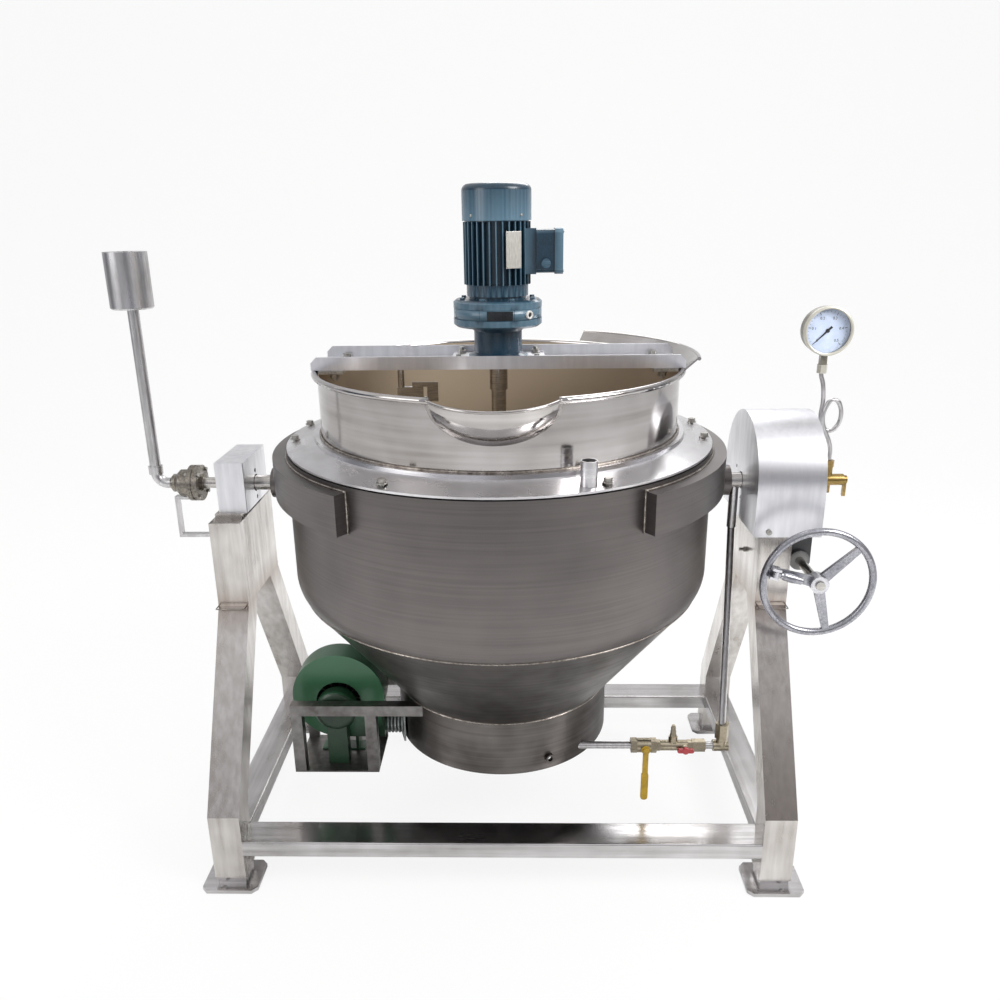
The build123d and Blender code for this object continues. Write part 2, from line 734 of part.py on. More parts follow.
# ---------------------------------------------------------------- stirrer carrier and drive
web_bottom_z = bead_top_z + gap
web_top_z = web_bottom_z + channel_wall
beam_bolt_x = 402
beam_bolt_y = 82
foot_top_z = web_top_z + 10
foot_half_x = 118
foot_half_y = beam_half_width - channel_wall - 3
probe_x = -250
with BuildPart() as stirrer_beam:
    with BuildSketch(along_x(-beam_half_length)):
        with BuildLine():
            Polyline((-beam_half_width, web_bottom_z), (beam_half_width, web_bottom_z),
                     (beam_half_width, web_bottom_z + channel_height),
                     (beam_half_width - channel_wall, web_bottom_z + channel_height),
                     (beam_half_width - channel_wall, web_top_z), (channel_wall - beam_half_width, web_top_z),
                     (channel_wall - beam_half_width, web_bottom_z + channel_height),
                     (-beam_half_width, web_bottom_z + channel_height), close=True)
        make_face()
    extrude(amount=2 * beam_half_length)
    corner_edges = stirrer_beam.edges().filter_by(Axis.Y).group_by(Axis.Z)[-1]
    chamfer(corner_edges, 14)
    with BuildSketch(Plane.XY.offset(web_bottom_z - 1)):
        Circle(30)
        with Locations((probe_x, 0)):
            Circle(9)
        with GridLocations(2 * beam_bolt_x, 2 * beam_bolt_y, 2, 2):
            Circle(6.5)
    extrude(amount=channel_wall + 2, mode=Mode.SUBTRACT)
    with BuildSketch(Plane.XY.offset(web_top_z)):
        RectangleRounded(2 * foot_half_x, 2 * foot_half_y, 12)
        Circle(30, mode=Mode.SUBTRACT)
    extrude(amount=foot_top_z - web_top_z)
save(stirrer_beam, "stirrer_beam")

# Beam bolts with the cleats that they clamp to, welded inside the pot wall.
cleat_thick = 8
with BuildPart() as beam_bolts:
    with BuildSketch(Plane.XY.offset(web_bottom_z - gap - cleat_thick)):
        Circle(pot_radius - gap)
        with GridLocations(2 * (beam_bolt_x + 20), 2 * beam_bolt_y, 2, 2):
            Rectangle(90, 50, mode=Mode.INTERSECT)
    extrude(amount=cleat_thick)
    with BuildSketch(Plane.XY.offset(web_bottom_z - 28)):
        with GridLocations(2 * beam_bolt_x, 2 * beam_bolt_y, 2, 2):
            Circle(6)
    extrude(amount=28 + channel_wall)
    with BuildSketch(Plane.XY.offset(web_top_z), Plane.XY.offset(web_bottom_z - 22)):
        with GridLocations(2 * beam_bolt_x, 2 * beam_bolt_y, 2, 2):
            RegularPolygon(11, 6)
    extrude(amount=10)
    with BuildSketch(Plane.XY.offset(foot_top_z)):
        with GridLocations(2 * foot_half_x - 44, 2 * foot_half_y - 50, 2, 2):
            RegularPolygon(11, 6)
    extrude(amount=9)
    with BuildSketch(Plane.XY.offset(foot_top_z + 9)):
        with GridLocations(2 * foot_half_x - 44, 2 * foot_half_y - 50, 2, 2):
            Circle(6)
    extrude(amount=8)
save(beam_bolts, "beam_bolts")

# Probe rod: a thermowell that hangs from the beam, with a small clamp plate.
rod_radius = 8.5
rod_bottom_z = 880
with BuildPart() as probe_rod:
    with BuildSketch(Plane.XY.offset(rod_bottom_z)):
        with Locations((probe_x, 0)):
            Circle(rod_radius)
    extrude(amount=web_top_z + 6 - rod_bottom_z)
    with BuildSketch(Plane.XY.offset(web_top_z)):
        with Locations((probe_x, 0)):
            RegularPolygon(15, 6)
    extrude(amount=12)
    with BuildSketch(Plane.XZ.offset(4)):
        with Locations((probe_x + 62, 1223)):
            Rectangle(66, 50)
            Rectangle(10, 26, mode=Mode.SUBTRACT)
    extrude(amount=4)
    with BuildSketch(Plane.XZ.offset(-9)):
        with Locations((probe_x + 10, 1223)):
            Rectangle(40, 24)
    extrude(amount=17)
save(probe_rod, "probe_rod")

# Reducer: flanged neck on the beam, open through the middle, and a drum between bolted flanges.
neck_radius = 60
neck_bore = 26
neck_top_z = 1389
housing_radius = 110
drum_radius = 97
housing_top_z = 1455
flange_height = 20
with BuildPart() as reducer:
    with BuildSketch(Plane.XZ):
        with BuildLine():
            Polyline((neck_bore, foot_top_z), (neck_radius + 14, foot_top_z),
                     (neck_radius + 14, foot_top_z + 8), (neck_radius, foot_top_z + 14),
                     (neck_radius, neck_top_z - 12), (neck_radius + 14, neck_top_z),
                     (housing_radius - 8, neck_top_z), (housing_radius, neck_top_z + 6),
                     (housing_radius, neck_top_z + flange_height), (drum_radius, neck_top_z + flange_height + 2),
                     (drum_radius, housing_top_z - flange_height - 2),
                     (housing_radius, housing_top_z - flange_height), (housing_radius, housing_top_z - 6),
                     (housing_radius - 8, housing_top_z), (0, housing_top_z), (0, housing_top_z - flange_height),
                     (stirrer_radius + bearing_running_gap, housing_top_z - flange_height),
                     (stirrer_radius + bearing_running_gap, neck_top_z), (neck_bore, neck_top_z - 4),
                     close=True)
        make_face()
    revolve(axis=Axis.Z)
    with BuildSketch(Plane.XY.offset(neck_top_z + flange_height)):
        with PolarLocations(housing_radius - 7, 8, start_angle=22.5):
            RegularPolygon(6.5, 6)
    extrude(amount=housing_top_z - neck_top_z - 2 * flange_height)
    with BuildSketch(Plane.XY.offset(housing_top_z)):
        with PolarLocations(housing_radius - 17, 8, start_angle=22.5):
            RegularPolygon(6.5, 6)
    extrude(amount=5)
save(reducer, "reducer")

# Motor: finned stator body with end shields.
motor_bottom_z = 1463
fins_bottom_z = 1490
fins_top_z = 1636
fan_bottom_z = 1646
fan_cover_top_z = 1722
fin_count = 32
rotor_radius = 10
with BuildPart() as motor_body:
    with BuildSketch(Plane.XZ):
        with BuildLine():
            Polyline((0, housing_top_z), (motor_radius - 6, housing_top_z), (motor_radius - 6, motor_bottom_z),
                     (motor_radius, motor_bottom_z), (motor_radius, fins_bottom_z), (68, fins_bottom_z),
                     (68, fins_top_z), (motor_radius + 2, fins_top_z), (motor_radius + 2, fan_bottom_z),
                     (0, fan_bottom_z), close=True)
        make_face()
    revolve(axis=Axis.Z)
    with BuildSketch(Plane.XY.offset(fins_bottom_z)):
        with PolarLocations(0, fin_count):
            with Locations((74, 0)):
                Rectangle(16, 3)
    extrude(amount=fins_top_z - fins_bottom_z)
    with BuildSketch(Plane.XY.offset(fan_bottom_z)):
        Circle(rotor_radius + bearing_running_gap)
    extrude(amount=-60, mode=Mode.SUBTRACT)
    with BuildSketch(Plane.XY.offset(fins_bottom_z + 24)):
        with Locations((82, 0)):
            Rectangle(26, 76)
    extrude(amount=106)
save(motor_body, "motor_body")

# Fan cover: pressed sheet cap with a slotted grille.
cover_radius = 84
with BuildPart() as fan_cover:
    with BuildSketch(Plane.XZ):
        with BuildLine():
            outer = Polyline((motor_radius + 2 + gap, fins_top_z + 2), (cover_radius, fins_top_z + 2),
                             (cover_radius, fan_cover_top_z - 16))
            crown = RadiusArc(outer @ 1, (cover_radius - 16, fan_cover_top_z), -16)
            Polyline(crown @ 1, (0, fan_cover_top_z), (0, fan_cover_top_z - sheet),
                     (cover_radius - 16, fan_cover_top_z - sheet))
            RadiusArc((cover_radius - 16, fan_cover_top_z - sheet), (cover_radius - sheet, fan_cover_top_z - 16),
                      14)
            Polyline((cover_radius - sheet, fan_cover_top_z - 16), (cover_radius - sheet, fins_top_z + 12),
                     (motor_radius + 2 + gap, fins_top_z + 8), (motor_radius + 2 + gap, fins_top_z + 2))
        make_face()
    revolve(axis=Axis.Z)
    with BuildSketch(Plane.XY.offset(fan_cover_top_z - 5)):
        with PolarLocations(42, 16):
            SlotOverall(36, 6)
    extrude(amount=10, mode=Mode.SUBTRACT)
save(fan_cover, "fan_cover")

# Terminal box on the side of the motor, with its lid and cable gland.
with BuildPart() as terminal_box:
    with BuildSketch(Plane.YZ.offset(95 + gap)):
        with Locations((0, 1567)):
            RectangleRounded(88, 100, 10)
    extrude(amount=44)
    with BuildSketch(Plane.YZ.offset(139 + gap)):
        with Locations((0, 1567)):
            RectangleRounded(94, 106, 12)
    extrude(amount=20)
    with BuildSketch(along_y(-44)):
        with Locations((118, 1540)):
            Circle(11)
    extrude(amount=20)
save(terminal_box, "terminal_box")

# Motor rotor: shaft end and cooling fan under the cover.
with BuildPart() as motor_rotor:
    with BuildSketch(Plane.XY.offset(fan_bottom_z - 58)):
        Circle(rotor_radius)
    extrude(amount=110)
    with BuildSketch(Plane.XY.offset(1660)):
        Circle(24)
        with PolarLocations(0, 8):
            with Locations((40, 0)):
                Rectangle(52, 4)
    extrude(amount=34)
    with BuildSketch(Plane.XY.offset(1656)):
        Circle(66)
    extrude(amount=4)
save(motor_rotor, "motor_rotor")

# Stirrer shaft: from the reducer down into the bowl, with a coupling sleeve under the beam.
shaft_bottom_z = pot_bottom_centre_z - arm_radius + 30
with BuildPart() as stirrer_shaft:
    with BuildSketch(Plane.XY.offset(shaft_bottom_z)):
        Circle(stirrer_radius)
    extrude(amount=housing_top_z - 24 - shaft_bottom_z)
    with BuildSketch(Plane.XY.offset(1228)):
        Circle(coupling_radius + 2)
    extrude(amount=90)
save(stirrer_shaft, "stirrer_shaft")

# Anchor frame: a flat bar that follows the pot wall and bottom, with a cross bar on the shaft.
arm_outer = arm_radius + arm_section
bar_width = 36
cross_z = 805
with BuildPart() as stirrer_frame:
    with BuildSketch(Plane.XZ.offset(-arm_section / 2)):
        with BuildLine():
            outside = Line((arm_outer, arm_top_z), (arm_outer, pot_bottom_centre_z))
            around = ThreePointArc(outside @ 1, (0, pot_bottom_centre_z - arm_outer),
                                   (-arm_outer, pot_bottom_centre_z))
            Polyline(around @ 1, (-arm_outer, arm_top_z), (bar_width - arm_outer, arm_top_z),
                     (bar_width - arm_outer, pot_bottom_centre_z))
            ThreePointArc((bar_width - arm_outer, pot_bottom_centre_z),
                          (0, pot_bottom_centre_z - arm_outer + bar_width),
                          (arm_outer - bar_width, pot_bottom_centre_z))
            Polyline((arm_outer - bar_width, pot_bottom_centre_z), (arm_outer - bar_width, arm_top_z),
                     outside @ 0)
        make_face()
        with Locations((0, cross_z)):
            Rectangle(2 * (arm_outer - bar_width) - 70, 30)
    extrude(amount=arm_section)
    with BuildSketch(Plane.XY.offset(cross_z - 25)):
        Circle(stirrer_radius + 10)
    extrude(amount=50)
    with BuildSketch(Plane.XY.offset(pot_bottom_centre_z - arm_outer + 4)):
        Circle(stirrer_radius + 10)
    extrude(amount=58)
    with BuildSketch(Plane.XY.offset(shaft_bottom_z)):
        Circle(stirrer_radius)
    extrude(amount=400, mode=Mode.SUBTRACT)
save(stirrer_frame, "stirrer_frame")

# Scraper blades: plastic strips bolted to the face of the anchor, a few millimetres off the wall.
wall_gap = 4
blade_outer = pot_radius - wall_gap
blade_inner = arm_outer - 6
blade_thick = 8
with BuildPart() as scrapers:
    for direction in (-1, 1):
        with BuildSketch(Plane.XZ.offset(arm_section / 2)):
            with Locations((direction * (blade_inner + blade_outer) / 2, 1066)):
                Rectangle(blade_outer - blade_inner, 116)
        extrude(amount=blade_thick)
        for start in (-14, -46):
            with BuildSketch(Plane.XZ.offset(arm_section / 2)):
                with Locations((0, pot_bottom_centre_z)):
                    Circle(blade_outer)
                    Circle(blade_inner, mode=Mode.SUBTRACT)
                with BuildLine():
                    far = 700
                    first = math.radians(start)
                    last = math.radians(start - 26)
                    Polyline((0, pot_bottom_centre_z),
                             (direction * far * math.cos(first), pot_bottom_centre_z + far * math.sin(first)),
                             (direction * far * math.cos(last), pot_bottom_centre_z + far * math.sin(last)),
                             close=True)
                make_face(mode=Mode.INTERSECT)
            extrude(amount=blade_thick)
save(scrapers, "scrapers")

# ---------------------------------------------------------------- blower for the burner
scroll_x, scroll_z = blower_axis
fan_shaft_z = scroll_z - shaft_drop
outlet_half = 34
outlet_z = scroll_z - scroll_radius + outlet_half
outlet_end_x = -328
spigot_length = 8
duct_y = scroll_front_y + scroll_depth / 2
plate_half = 42
plate_angle = math.degrees(math.asin(-duct_y / (burner_radius + 4)))
eye_radius = 62
bracket_left_x = -560
bracket_right_x = -332
bracket_depth = 28
bracket_top_z = burner_top_z - 2
bracket_back_y = -38

with BuildPart() as blower_bracket:
    for front_y, depth in ((bracket_front_y, bracket_depth), (bracket_back_y - 10, 10)):
        middle = front_y + depth / 2
        with BuildSketch(Plane.XY.offset(bracket_floor_z)):
            with Locations((bracket_left_x + bracket_tube / 2, middle),
                           (bracket_right_x - bracket_tube / 2, middle)):
                Rectangle(bracket_tube, depth)
        extrude(amount=bracket_top_z - bracket_floor_z)
        with BuildSketch(Plane.XY.offset(bracket_top_z - bracket_tube)):
            with Locations(((bracket_left_x - 200) / 2, middle)):
                Rectangle(-200 - bracket_left_x, depth)
        extrude(amount=bracket_tube)
    with BuildSketch(Plane.XY.offset(bracket_floor_z)):
        with Locations(((bracket_left_x + bracket_right_x) / 2, (bracket_front_y + bracket_back_y) / 2)):
            Rectangle(bracket_right_x - bracket_left_x, bracket_back_y - bracket_front_y)
    extrude(amount=4)
    with BuildSketch(Plane.XY.offset(bracket_floor_z - 10)):
        Circle(burner_radius + gap)
    extrude(amount=300, mode=Mode.SUBTRACT)
save(blower_bracket, "blower_bracket")


def scroll_face(y, inset):
    """Side outline of the fan scroll: a round back with a straight outlet along the bottom."""
    low = outlet_z - outlet_half + inset
    high = outlet_z + outlet_half - inset
    with BuildSketch(along_y(y)) as face:
        with Locations((scroll_x, scroll_z)):
            Circle(scroll_radius - inset)
        with BuildLine():
            Polyline((scroll_x, low), (outlet_end_x, low), (outlet_end_x, high), (scroll_x, high), close=True)
        make_face()
    return face.sketch


with BuildPart() as blower_scroll:
    extrude(scroll_face(scroll_front_y + scroll_depth, 0), amount=scroll_depth)
    extrude(scroll_face(scroll_front_y + scroll_depth - sheet, sheet), amount=scroll_depth - 2 * sheet,
            mode=Mode.SUBTRACT)
    with BuildSketch(along_y(scroll_front_y + 10)):
        with Locations((scroll_x, fan_shaft_z)):
            Circle(eye_radius)
    extrude(amount=20, mode=Mode.SUBTRACT)
    with BuildSketch(along_x(outlet_end_x)):
        with Locations((duct_y, outlet_z)):
            Rectangle(scroll_depth, 2 * outlet_half)
            Circle(outlet_radius - 5, mode=Mode.SUBTRACT)
    extrude(amount=3)
    with BuildSketch(along_x(outlet_end_x)):
        with Locations((duct_y, outlet_z)):
            Circle(outlet_radius - 3)
            Circle(outlet_radius - 5, mode=Mode.SUBTRACT)
    extrude(amount=spigot_length)
    with BuildSketch(Plane.XY.offset(bracket_floor_z + 4 + gap)):
        with Locations((scroll_x - 40, duct_y), (scroll_x + 40, duct_y)):
            Rectangle(8, 40)
    extrude(amount=scroll_z - scroll_radius + 10 - bracket_floor_z)
    with BuildSketch(Plane.XY.offset(bracket_floor_z + 4 + gap)):
        with Locations((scroll_x, duct_y)):
            Rectangle(120, 40)
    extrude(amount=4)
save(blower_scroll, "blower_scroll")

# Blower motor: round body with a domed end, standing on a pedestal, its nose in the scroll's eye.
fan_shaft_radius = 7
motor_front_y = scroll_front_y - blower_motor_length
with BuildPart() as blower_motor:
    with BuildSketch(Plane(origin=(scroll_x, 0, fan_shaft_z), x_dir=(0, 1, 0), z_dir=(0, 0, 1))):
        with BuildLine():
            Polyline((scroll_front_y + 12, 0), (scroll_front_y + 12, blower_motor_radius - 12),
                     (scroll_front_y - 6, blower_motor_radius - 4), (scroll_front_y - 10, blower_motor_radius - 4),
                     (scroll_front_y - 10, blower_motor_radius - 1), (motor_front_y + 18, blower_motor_radius - 1),
                     (motor_front_y + 18, blower_motor_radius), (motor_front_y + 8, blower_motor_radius))
            RadiusArc((motor_front_y + 8, blower_motor_radius), (motor_front_y, blower_motor_radius - 14), -20)
            Polyline((motor_front_y, blower_motor_radius - 14), (motor_front_y, 0), (scroll_front_y + 12, 0))
        make_face()
    revolve(axis=Axis((scroll_x, 0, fan_shaft_z), (0, 1, 0)))
    with BuildSketch(along_y(scroll_front_y + 14)):
        with Locations((scroll_x, fan_shaft_z)):
            Circle(fan_shaft_radius + bearing_running_gap)
    extrude(amount=40, mode=Mode.SUBTRACT)
    with BuildSketch(Plane.XY.offset(bracket_floor_z + 4 + gap)):
        with Locations((scroll_x, scroll_front_y - 32)):
            Rectangle(54, 34)
    extrude(amount=fan_shaft_z - bracket_floor_z - 30)
save(blower_motor, "blower_motor")

# Impeller: back plate, hub and radial blades on the motor shaft.
impeller_radius = 88
with BuildPart() as blower_impeller:
    back_y = scroll_front_y + scroll_depth - 12
    with BuildSketch(along_y(back_y)):
        with Locations((scroll_x, fan_shaft_z)):
            Circle(impeller_radius)
    extrude(amount=3)
    with BuildSketch(along_y(back_y)):
        with Locations((scroll_x, fan_shaft_z)):
            Circle(18)
            with PolarLocations(0, 12):
                with Locations((52, 0)):
                    Rectangle(70, 3)
    extrude(amount=34)
    with BuildSketch(along_y(back_y)):
        with Locations((scroll_x, fan_shaft_z)):
            Circle(fan_shaft_radius)
    extrude(amount=80)
save(blower_impeller, "blower_impeller")

# Air hose: corrugated sleeve from the scroll to a plate bolted on the burner housing.
plate_plane = Plane(
    origin=(-(burner_radius + gap) * math.cos(math.radians(plate_angle)),
            -(burner_radius + gap) * math.sin(math.radians(plate_angle)), outlet_z),
    x_dir=(math.sin(math.radians(plate_angle)), -math.cos(math.radians(plate_angle)), 0),
    z_dir=(-math.cos(math.radians(plate_angle)), -math.sin(math.radians(plate_angle)), 0))
hose_start_x = outlet_end_x + spigot_length + gap
hose_end_x = -262
ribs = 6
rib_pitch = (hose_end_x - hose_start_x) / ribs
hose_points = []
for rib in range(ribs):
    x = hose_start_x + rib * rib_pitch
    hose_points += [(x, outlet_radius - 3), (x + rib_pitch * 0.3, outlet_radius + 2),
                    (x + rib_pitch * 0.7, outlet_radius + 2)]
with BuildPart() as air_hose:
    with BuildSketch(Plane(origin=(0, duct_y, outlet_z), x_dir=(1, 0, 0), z_dir=(0, -1, 0))):
        with BuildLine():
            Polyline(*hose_points, (hose_end_x, outlet_radius - 3), (hose_end_x, outlet_radius - 6),
                     (hose_start_x, outlet_radius - 6), close=True)
        make_face()
    revolve(axis=Axis((0, duct_y, outlet_z), (1, 0, 0)))
    with BuildSketch(plate_plane):
        Rectangle(400, 400)
    extrude(amount=5, mode=Mode.SUBTRACT)
    with BuildSketch(plate_plane):
        Rectangle(400, 400)
    extrude(amount=-100, mode=Mode.SUBTRACT)
    with BuildSketch(plate_plane):
        Rectangle(2 * plate_half + 10, 2 * plate_half)
        Circle(outlet_radius - 6, mode=Mode.SUBTRACT)
        with GridLocations(2 * plate_half - 6, 2 * plate_half - 16, 2, 2):
            RegularPolygon(6, 6)
    extrude(amount=5)
save(air_hose, "air_hose")

# ---------------------------------------------------------------- gas pipe and valves
pipe_outer = 9.5
drop_x = 620
drop_top_z = 850
run_y = -200
run_z = 301
run_x = 588
union_point = (585, -200, 362)
with BuildPart() as gas_pipe:
    with BuildSketch(Plane.XY.offset(drop_top_z)):
        with Locations((drop_x, 0)):
            Circle(12)
    extrude(amount=tilt_z - drop_top_z)
    with BuildSketch(along_x(drop_x - 30)):
        with Locations((0, tilt_z)):
            Circle(shaft_radius + gap)
    extrude(amount=60, mode=Mode.SUBTRACT)
    with BuildLine():
        slope = Line((drop_x, 0, drop_top_z + 4), union_point)
    with BuildSketch(Plane(origin=slope @ 0, z_dir=slope % 0)):
        Circle(pipe_outer)
    extrude(amount=slope.length)
    with BuildSketch(along_x(run_x - 16)):
        with Locations((run_y, run_z)):
            Circle(pipe_outer)
    extrude(amount=-400)
    with BuildSketch(Plane.XY.offset(burner_bottom_z - 10)):
        Circle(burner_radius + gap)
    extrude(amount=200, mode=Mode.SUBTRACT)
save(gas_pipe, "gas_pipe")

# Gas valves on the pipe run: elbow, union, tee cock with a hose barb, and the main ball valve.
tee_x = 488
barb_x = 458
ball_x = 384
stem_running_gap = 0.05
tee_stem_radius = 5
ball_stem_radius = 6
stem_inner_y = run_y - pipe_outer - 2
valve_front_y = run_y - 19
with BuildPart() as gas_valves:
    # (start x, end x, radius, sides) of each step along the run; no sides means round
    for start, end, radius, sides in ((564, 604, 15, 0), (508, 543, 17, 6), (496, 508, 15, 6), (424, 496, 14, 0),
                                      (414, 424, 15, 6), (399, 414, 20, 6), (362, 399, 19, 0), (346, 362, 20, 6)):
        with BuildSketch(along_x(start)):
            with Locations((run_y, run_z)):
                if sides:
                    RegularPolygon(radius, sides)
                else:
                    Circle(radius)
        extrude(amount=end - start)
    with BuildSketch(Plane.XY.offset(run_z)):
        with Locations((run_x, run_y)):
            Circle(15)
    extrude(amount=24)
    with BuildSketch(Plane.XY.offset(run_z + 24)):
        with Locations((run_x - 2, run_y)):
            RegularPolygon(18, 6)
    extrude(amount=44)
    with BuildSketch(Plane.XY.offset(run_z + 10)):
        with Locations((barb_x, run_y)):
            RegularPolygon(12, 6)
    extrude(amount=18)
    with BuildSketch(Plane(origin=(barb_x, run_y, run_z + 28), x_dir=(1, 0, 0), z_dir=(0, -1, 0))):
        with BuildLine():
            Polyline((0, 0), (9, 0), (9, 4), (6, 14), (8, 14), (5, 24), (7, 24), (4, 34), (0, 34), close=True)
        make_face()
    revolve(axis=Axis((barb_x, run_y, 0), (0, 0, 1)))
    for stem_x, radius in ((tee_x, 10), (ball_x, 12)):
        with BuildSketch(along_y(run_y)):
            with Locations((stem_x, run_z)):
                RegularPolygon(radius, 6)
        extrude(amount=run_y - valve_front_y)
    with BuildSketch(along_x(run_x - 300)):
        with Locations((run_y, run_z)):
            Circle(pipe_outer + gap)
    extrude(amount=300 - 16, mode=Mode.SUBTRACT)
    with BuildLine():
        bore = Line((drop_x, 0, drop_top_z + 4), union_point)
    with BuildSketch(Plane(origin=bore @ 0, z_dir=bore % 0)):
        Circle(pipe_outer + gap)
    extrude(amount=bore.length + gap, mode=Mode.SUBTRACT)
    for stem_x, radius in ((tee_x, tee_stem_radius), (ball_x, ball_stem_radius)):
        with BuildSketch(along_y(stem_inner_y + 0.5)):
            with Locations((stem_x, run_z)):
                Circle(radius + stem_running_gap)
        extrude(amount=40, mode=Mode.SUBTRACT)
save(gas_valves, "gas_valves")

# Ball valve lever: stem, hub nut and a long flat handle that hangs down when the gas is off.
lever_y = valve_front_y - 3
lever_tip_z = 155
with BuildPart() as ball_lever:
    with BuildSketch(along_y(stem_inner_y)):
        with Locations((ball_x, run_z)):
            Circle(ball_stem_radius)
    extrude(amount=stem_inner_y - lever_y + 9)
    with BuildSketch(along_y(lever_y)):
        with Locations((ball_x, run_z)):
            Circle(12)
        with Locations((ball_x, (run_z + lever_tip_z) / 2)):
            RectangleRounded(15, run_z - lever_tip_z, 6)
    extrude(amount=3)
    with BuildSketch(along_y(lever_y)):
        with Locations((ball_x, run_z)):
            RegularPolygon(9, 6)
    extrude(amount=8)
    with BuildSketch(along_y(lever_y + 1.5)):
        with Locations((ball_x, lever_tip_z + 34)):
            RectangleRounded(19, 84, 8)
    extrude(amount=6)
save(ball_lever, "ball_lever")

# Tee cock handle: a butterfly with two wings.
with BuildPart() as tee_handle:
    with BuildSketch(along_y(stem_inner_y)):
        with Locations((tee_x, run_z)):
            Circle(tee_stem_radius)
    extrude(amount=stem_inner_y - lever_y + 8)
    with BuildSketch(along_y(lever_y)):
        with Locations((tee_x, run_z)):
            SlotOverall(44, 11)
            Circle(9)
    extrude(amount=8)
save(tee_handle, "tee_handle")

# ================================================================ WORM DRIVE AND HANDWHEEL
worm_half = 40
thread_lead = math.pi * gear_module
thread_turns = 7
worm_core_radius = worm_pitch_radius - 1.25 * gear_module
thread_half_root = 2.9        # half width of the thread at its foot
thread_half_tip = 1.1
thread_sink = 0.5             # how far the foot of the thread is sunk in the core
# the tooth gap that meshes lies this far from the lowest point of the wheel
mesh_offset = -pitch_radius * math.sin(math.radians(tooth_angle / 4))
with BuildPart() as worm_shaft:
    with BuildSketch(along_y(gearbox_half - 9)):
        with Locations((wheel_x, worm_z)):
            Circle(worm_shaft_radius)
    extrude(amount=gearbox_half - 9 - handwheel_y + 24)
save(worm_shaft, "worm_shaft")

# Worm: a sleeve keyed on the shaft, with a left-hand thread that starts in line with a tooth gap.
with BuildPart() as worm:
    with BuildSketch(along_y(worm_half)):
        with Locations((wheel_x, worm_z)):
            Circle(worm_core_radius)
    extrude(amount=2 * worm_half)
    with BuildLine():
        thread_line = Helix(
            pitch=thread_lead, height=thread_turns * thread_lead, radius=worm_core_radius - thread_sink,
            center=(wheel_x, mesh_offset - 3 * thread_lead, worm_z), direction=(0, 1, 0), lefthand=True)
    with BuildSketch(Plane(origin=thread_line @ 0, x_dir=(0, 0, 1), z_dir=thread_line % 0)):
        Polygon((0, -thread_half_root), (0, thread_half_root),
                (thread_sink + 2.25 * gear_module, thread_half_tip),
                (thread_sink + 2.25 * gear_module, -thread_half_tip), align=None)
    sweep(is_frenet=True)
    with BuildSketch(along_y(worm_half)):
        with Locations((wheel_x, worm_z)):
            Circle(worm_shaft_radius)
    extrude(amount=2 * worm_half, mode=Mode.SUBTRACT)
save(worm, "worm")

# Handwheel: cast hub, three tapered spokes, a round rim and a lug for the folding handle.
hub_half = 18
spoke_turn = 44
grip_angle = math.radians(164)
grip_pivot = 112
lug_y = handwheel_y - 20
with BuildPart() as handwheel:
    with BuildSketch(along_y(handwheel_y + hub_half)):
        with Locations((wheel_x, worm_z)):
            Circle(22)
    extrude(amount=2 * hub_half)
    with BuildSketch(Plane(origin=(wheel_x, handwheel_y, worm_z), x_dir=(1, 0, 0), z_dir=(0, 0, 1))):
        with Locations((handwheel_radius, 0)):
            Circle(handwheel_rim)
    revolve(axis=Axis((wheel_x, handwheel_y, worm_z), (0, 1, 0)))
    with BuildSketch(along_y(handwheel_y + 5)):
        with Locations((wheel_x, worm_z)):
            with PolarLocations(0, 3, start_angle=spoke_turn):
                Polygon((14, -13), (handwheel_radius - 4, -8), (handwheel_radius - 4, 8), (14, 13), align=None)
    extrude(amount=10)
    for side in (-1, 1):
        with BuildSketch(along_y(handwheel_y)):
            with Locations((wheel_x + grip_pivot * math.cos(grip_angle), worm_z + grip_pivot * math.sin(grip_angle))):
                with Locations(Location((0, 0), 164)):
                    with Locations((2, side * 11)):
                        Rectangle(22, 6)
        extrude(amount=26)
    with BuildSketch(along_y(handwheel_y + hub_half + 1)):
        with Locations((wheel_x, worm_z)):
            Circle(worm_shaft_radius + gap)
    extrude(amount=2 * hub_half + 2, mode=Mode.SUBTRACT)
    with BuildSketch(Plane(
            origin=(wheel_x + grip_pivot * math.cos(grip_angle), lug_y, worm_z + grip_pivot * math.sin(grip_angle)),
            x_dir=(0, 1, 0), z_dir=(-math.sin(grip_angle), 0, math.cos(grip_angle)))):
        Circle(3.05)
    extrude(amount=30, both=True, mode=Mode.SUBTRACT)
save(handwheel, "handwheel")

# Folding handle: a grip on an eye that turns on a pin between the lugs; folded towards the hub.
inward = (-math.cos(grip_angle), 0, -math.sin(grip_angle))
pin_direction = (-math.sin(grip_angle), 0, math.cos(grip_angle))
pivot_point = (wheel_x + grip_pivot * math.cos(grip_angle), lug_y, worm_z + grip_pivot * math.sin(grip_angle))
grip_profile = [(0, 0), (7, 0), (7, 3), (10, 8), (11, 30), (9, 52), (5, 56), (0, 56)]
with BuildPart() as fold_handle:
    with BuildSketch(Plane(origin=pivot_point, x_dir=(0, 1, 0), z_dir=pin_direction)):
        Circle(7)
    extrude(amount=7.5, both=True)
    with BuildSketch(Plane(origin=pivot_point, x_dir=(0, 1, 0), z_dir=pin_direction)):
        Circle(3)
    extrude(amount=15, both=True)
    with BuildSketch(Plane(origin=pivot_point, x_dir=(0, 1, 0), z_dir=inward)):
        Rectangle(9, 9)
    extrude(amount=14)
    grip_start = tuple(p + 12 * d for p, d in zip(pivot_point, inward))
    with BuildSketch(Plane(origin=grip_start, x_dir=(0, -1, 0), z_dir=tuple(-d for d in pin_direction))):
        with BuildLine():
            Polyline(*grip_profile, close=True)
        make_face()
    revolve(axis=Axis(grip_start, inward))
save(fold_handle, "fold_handle")

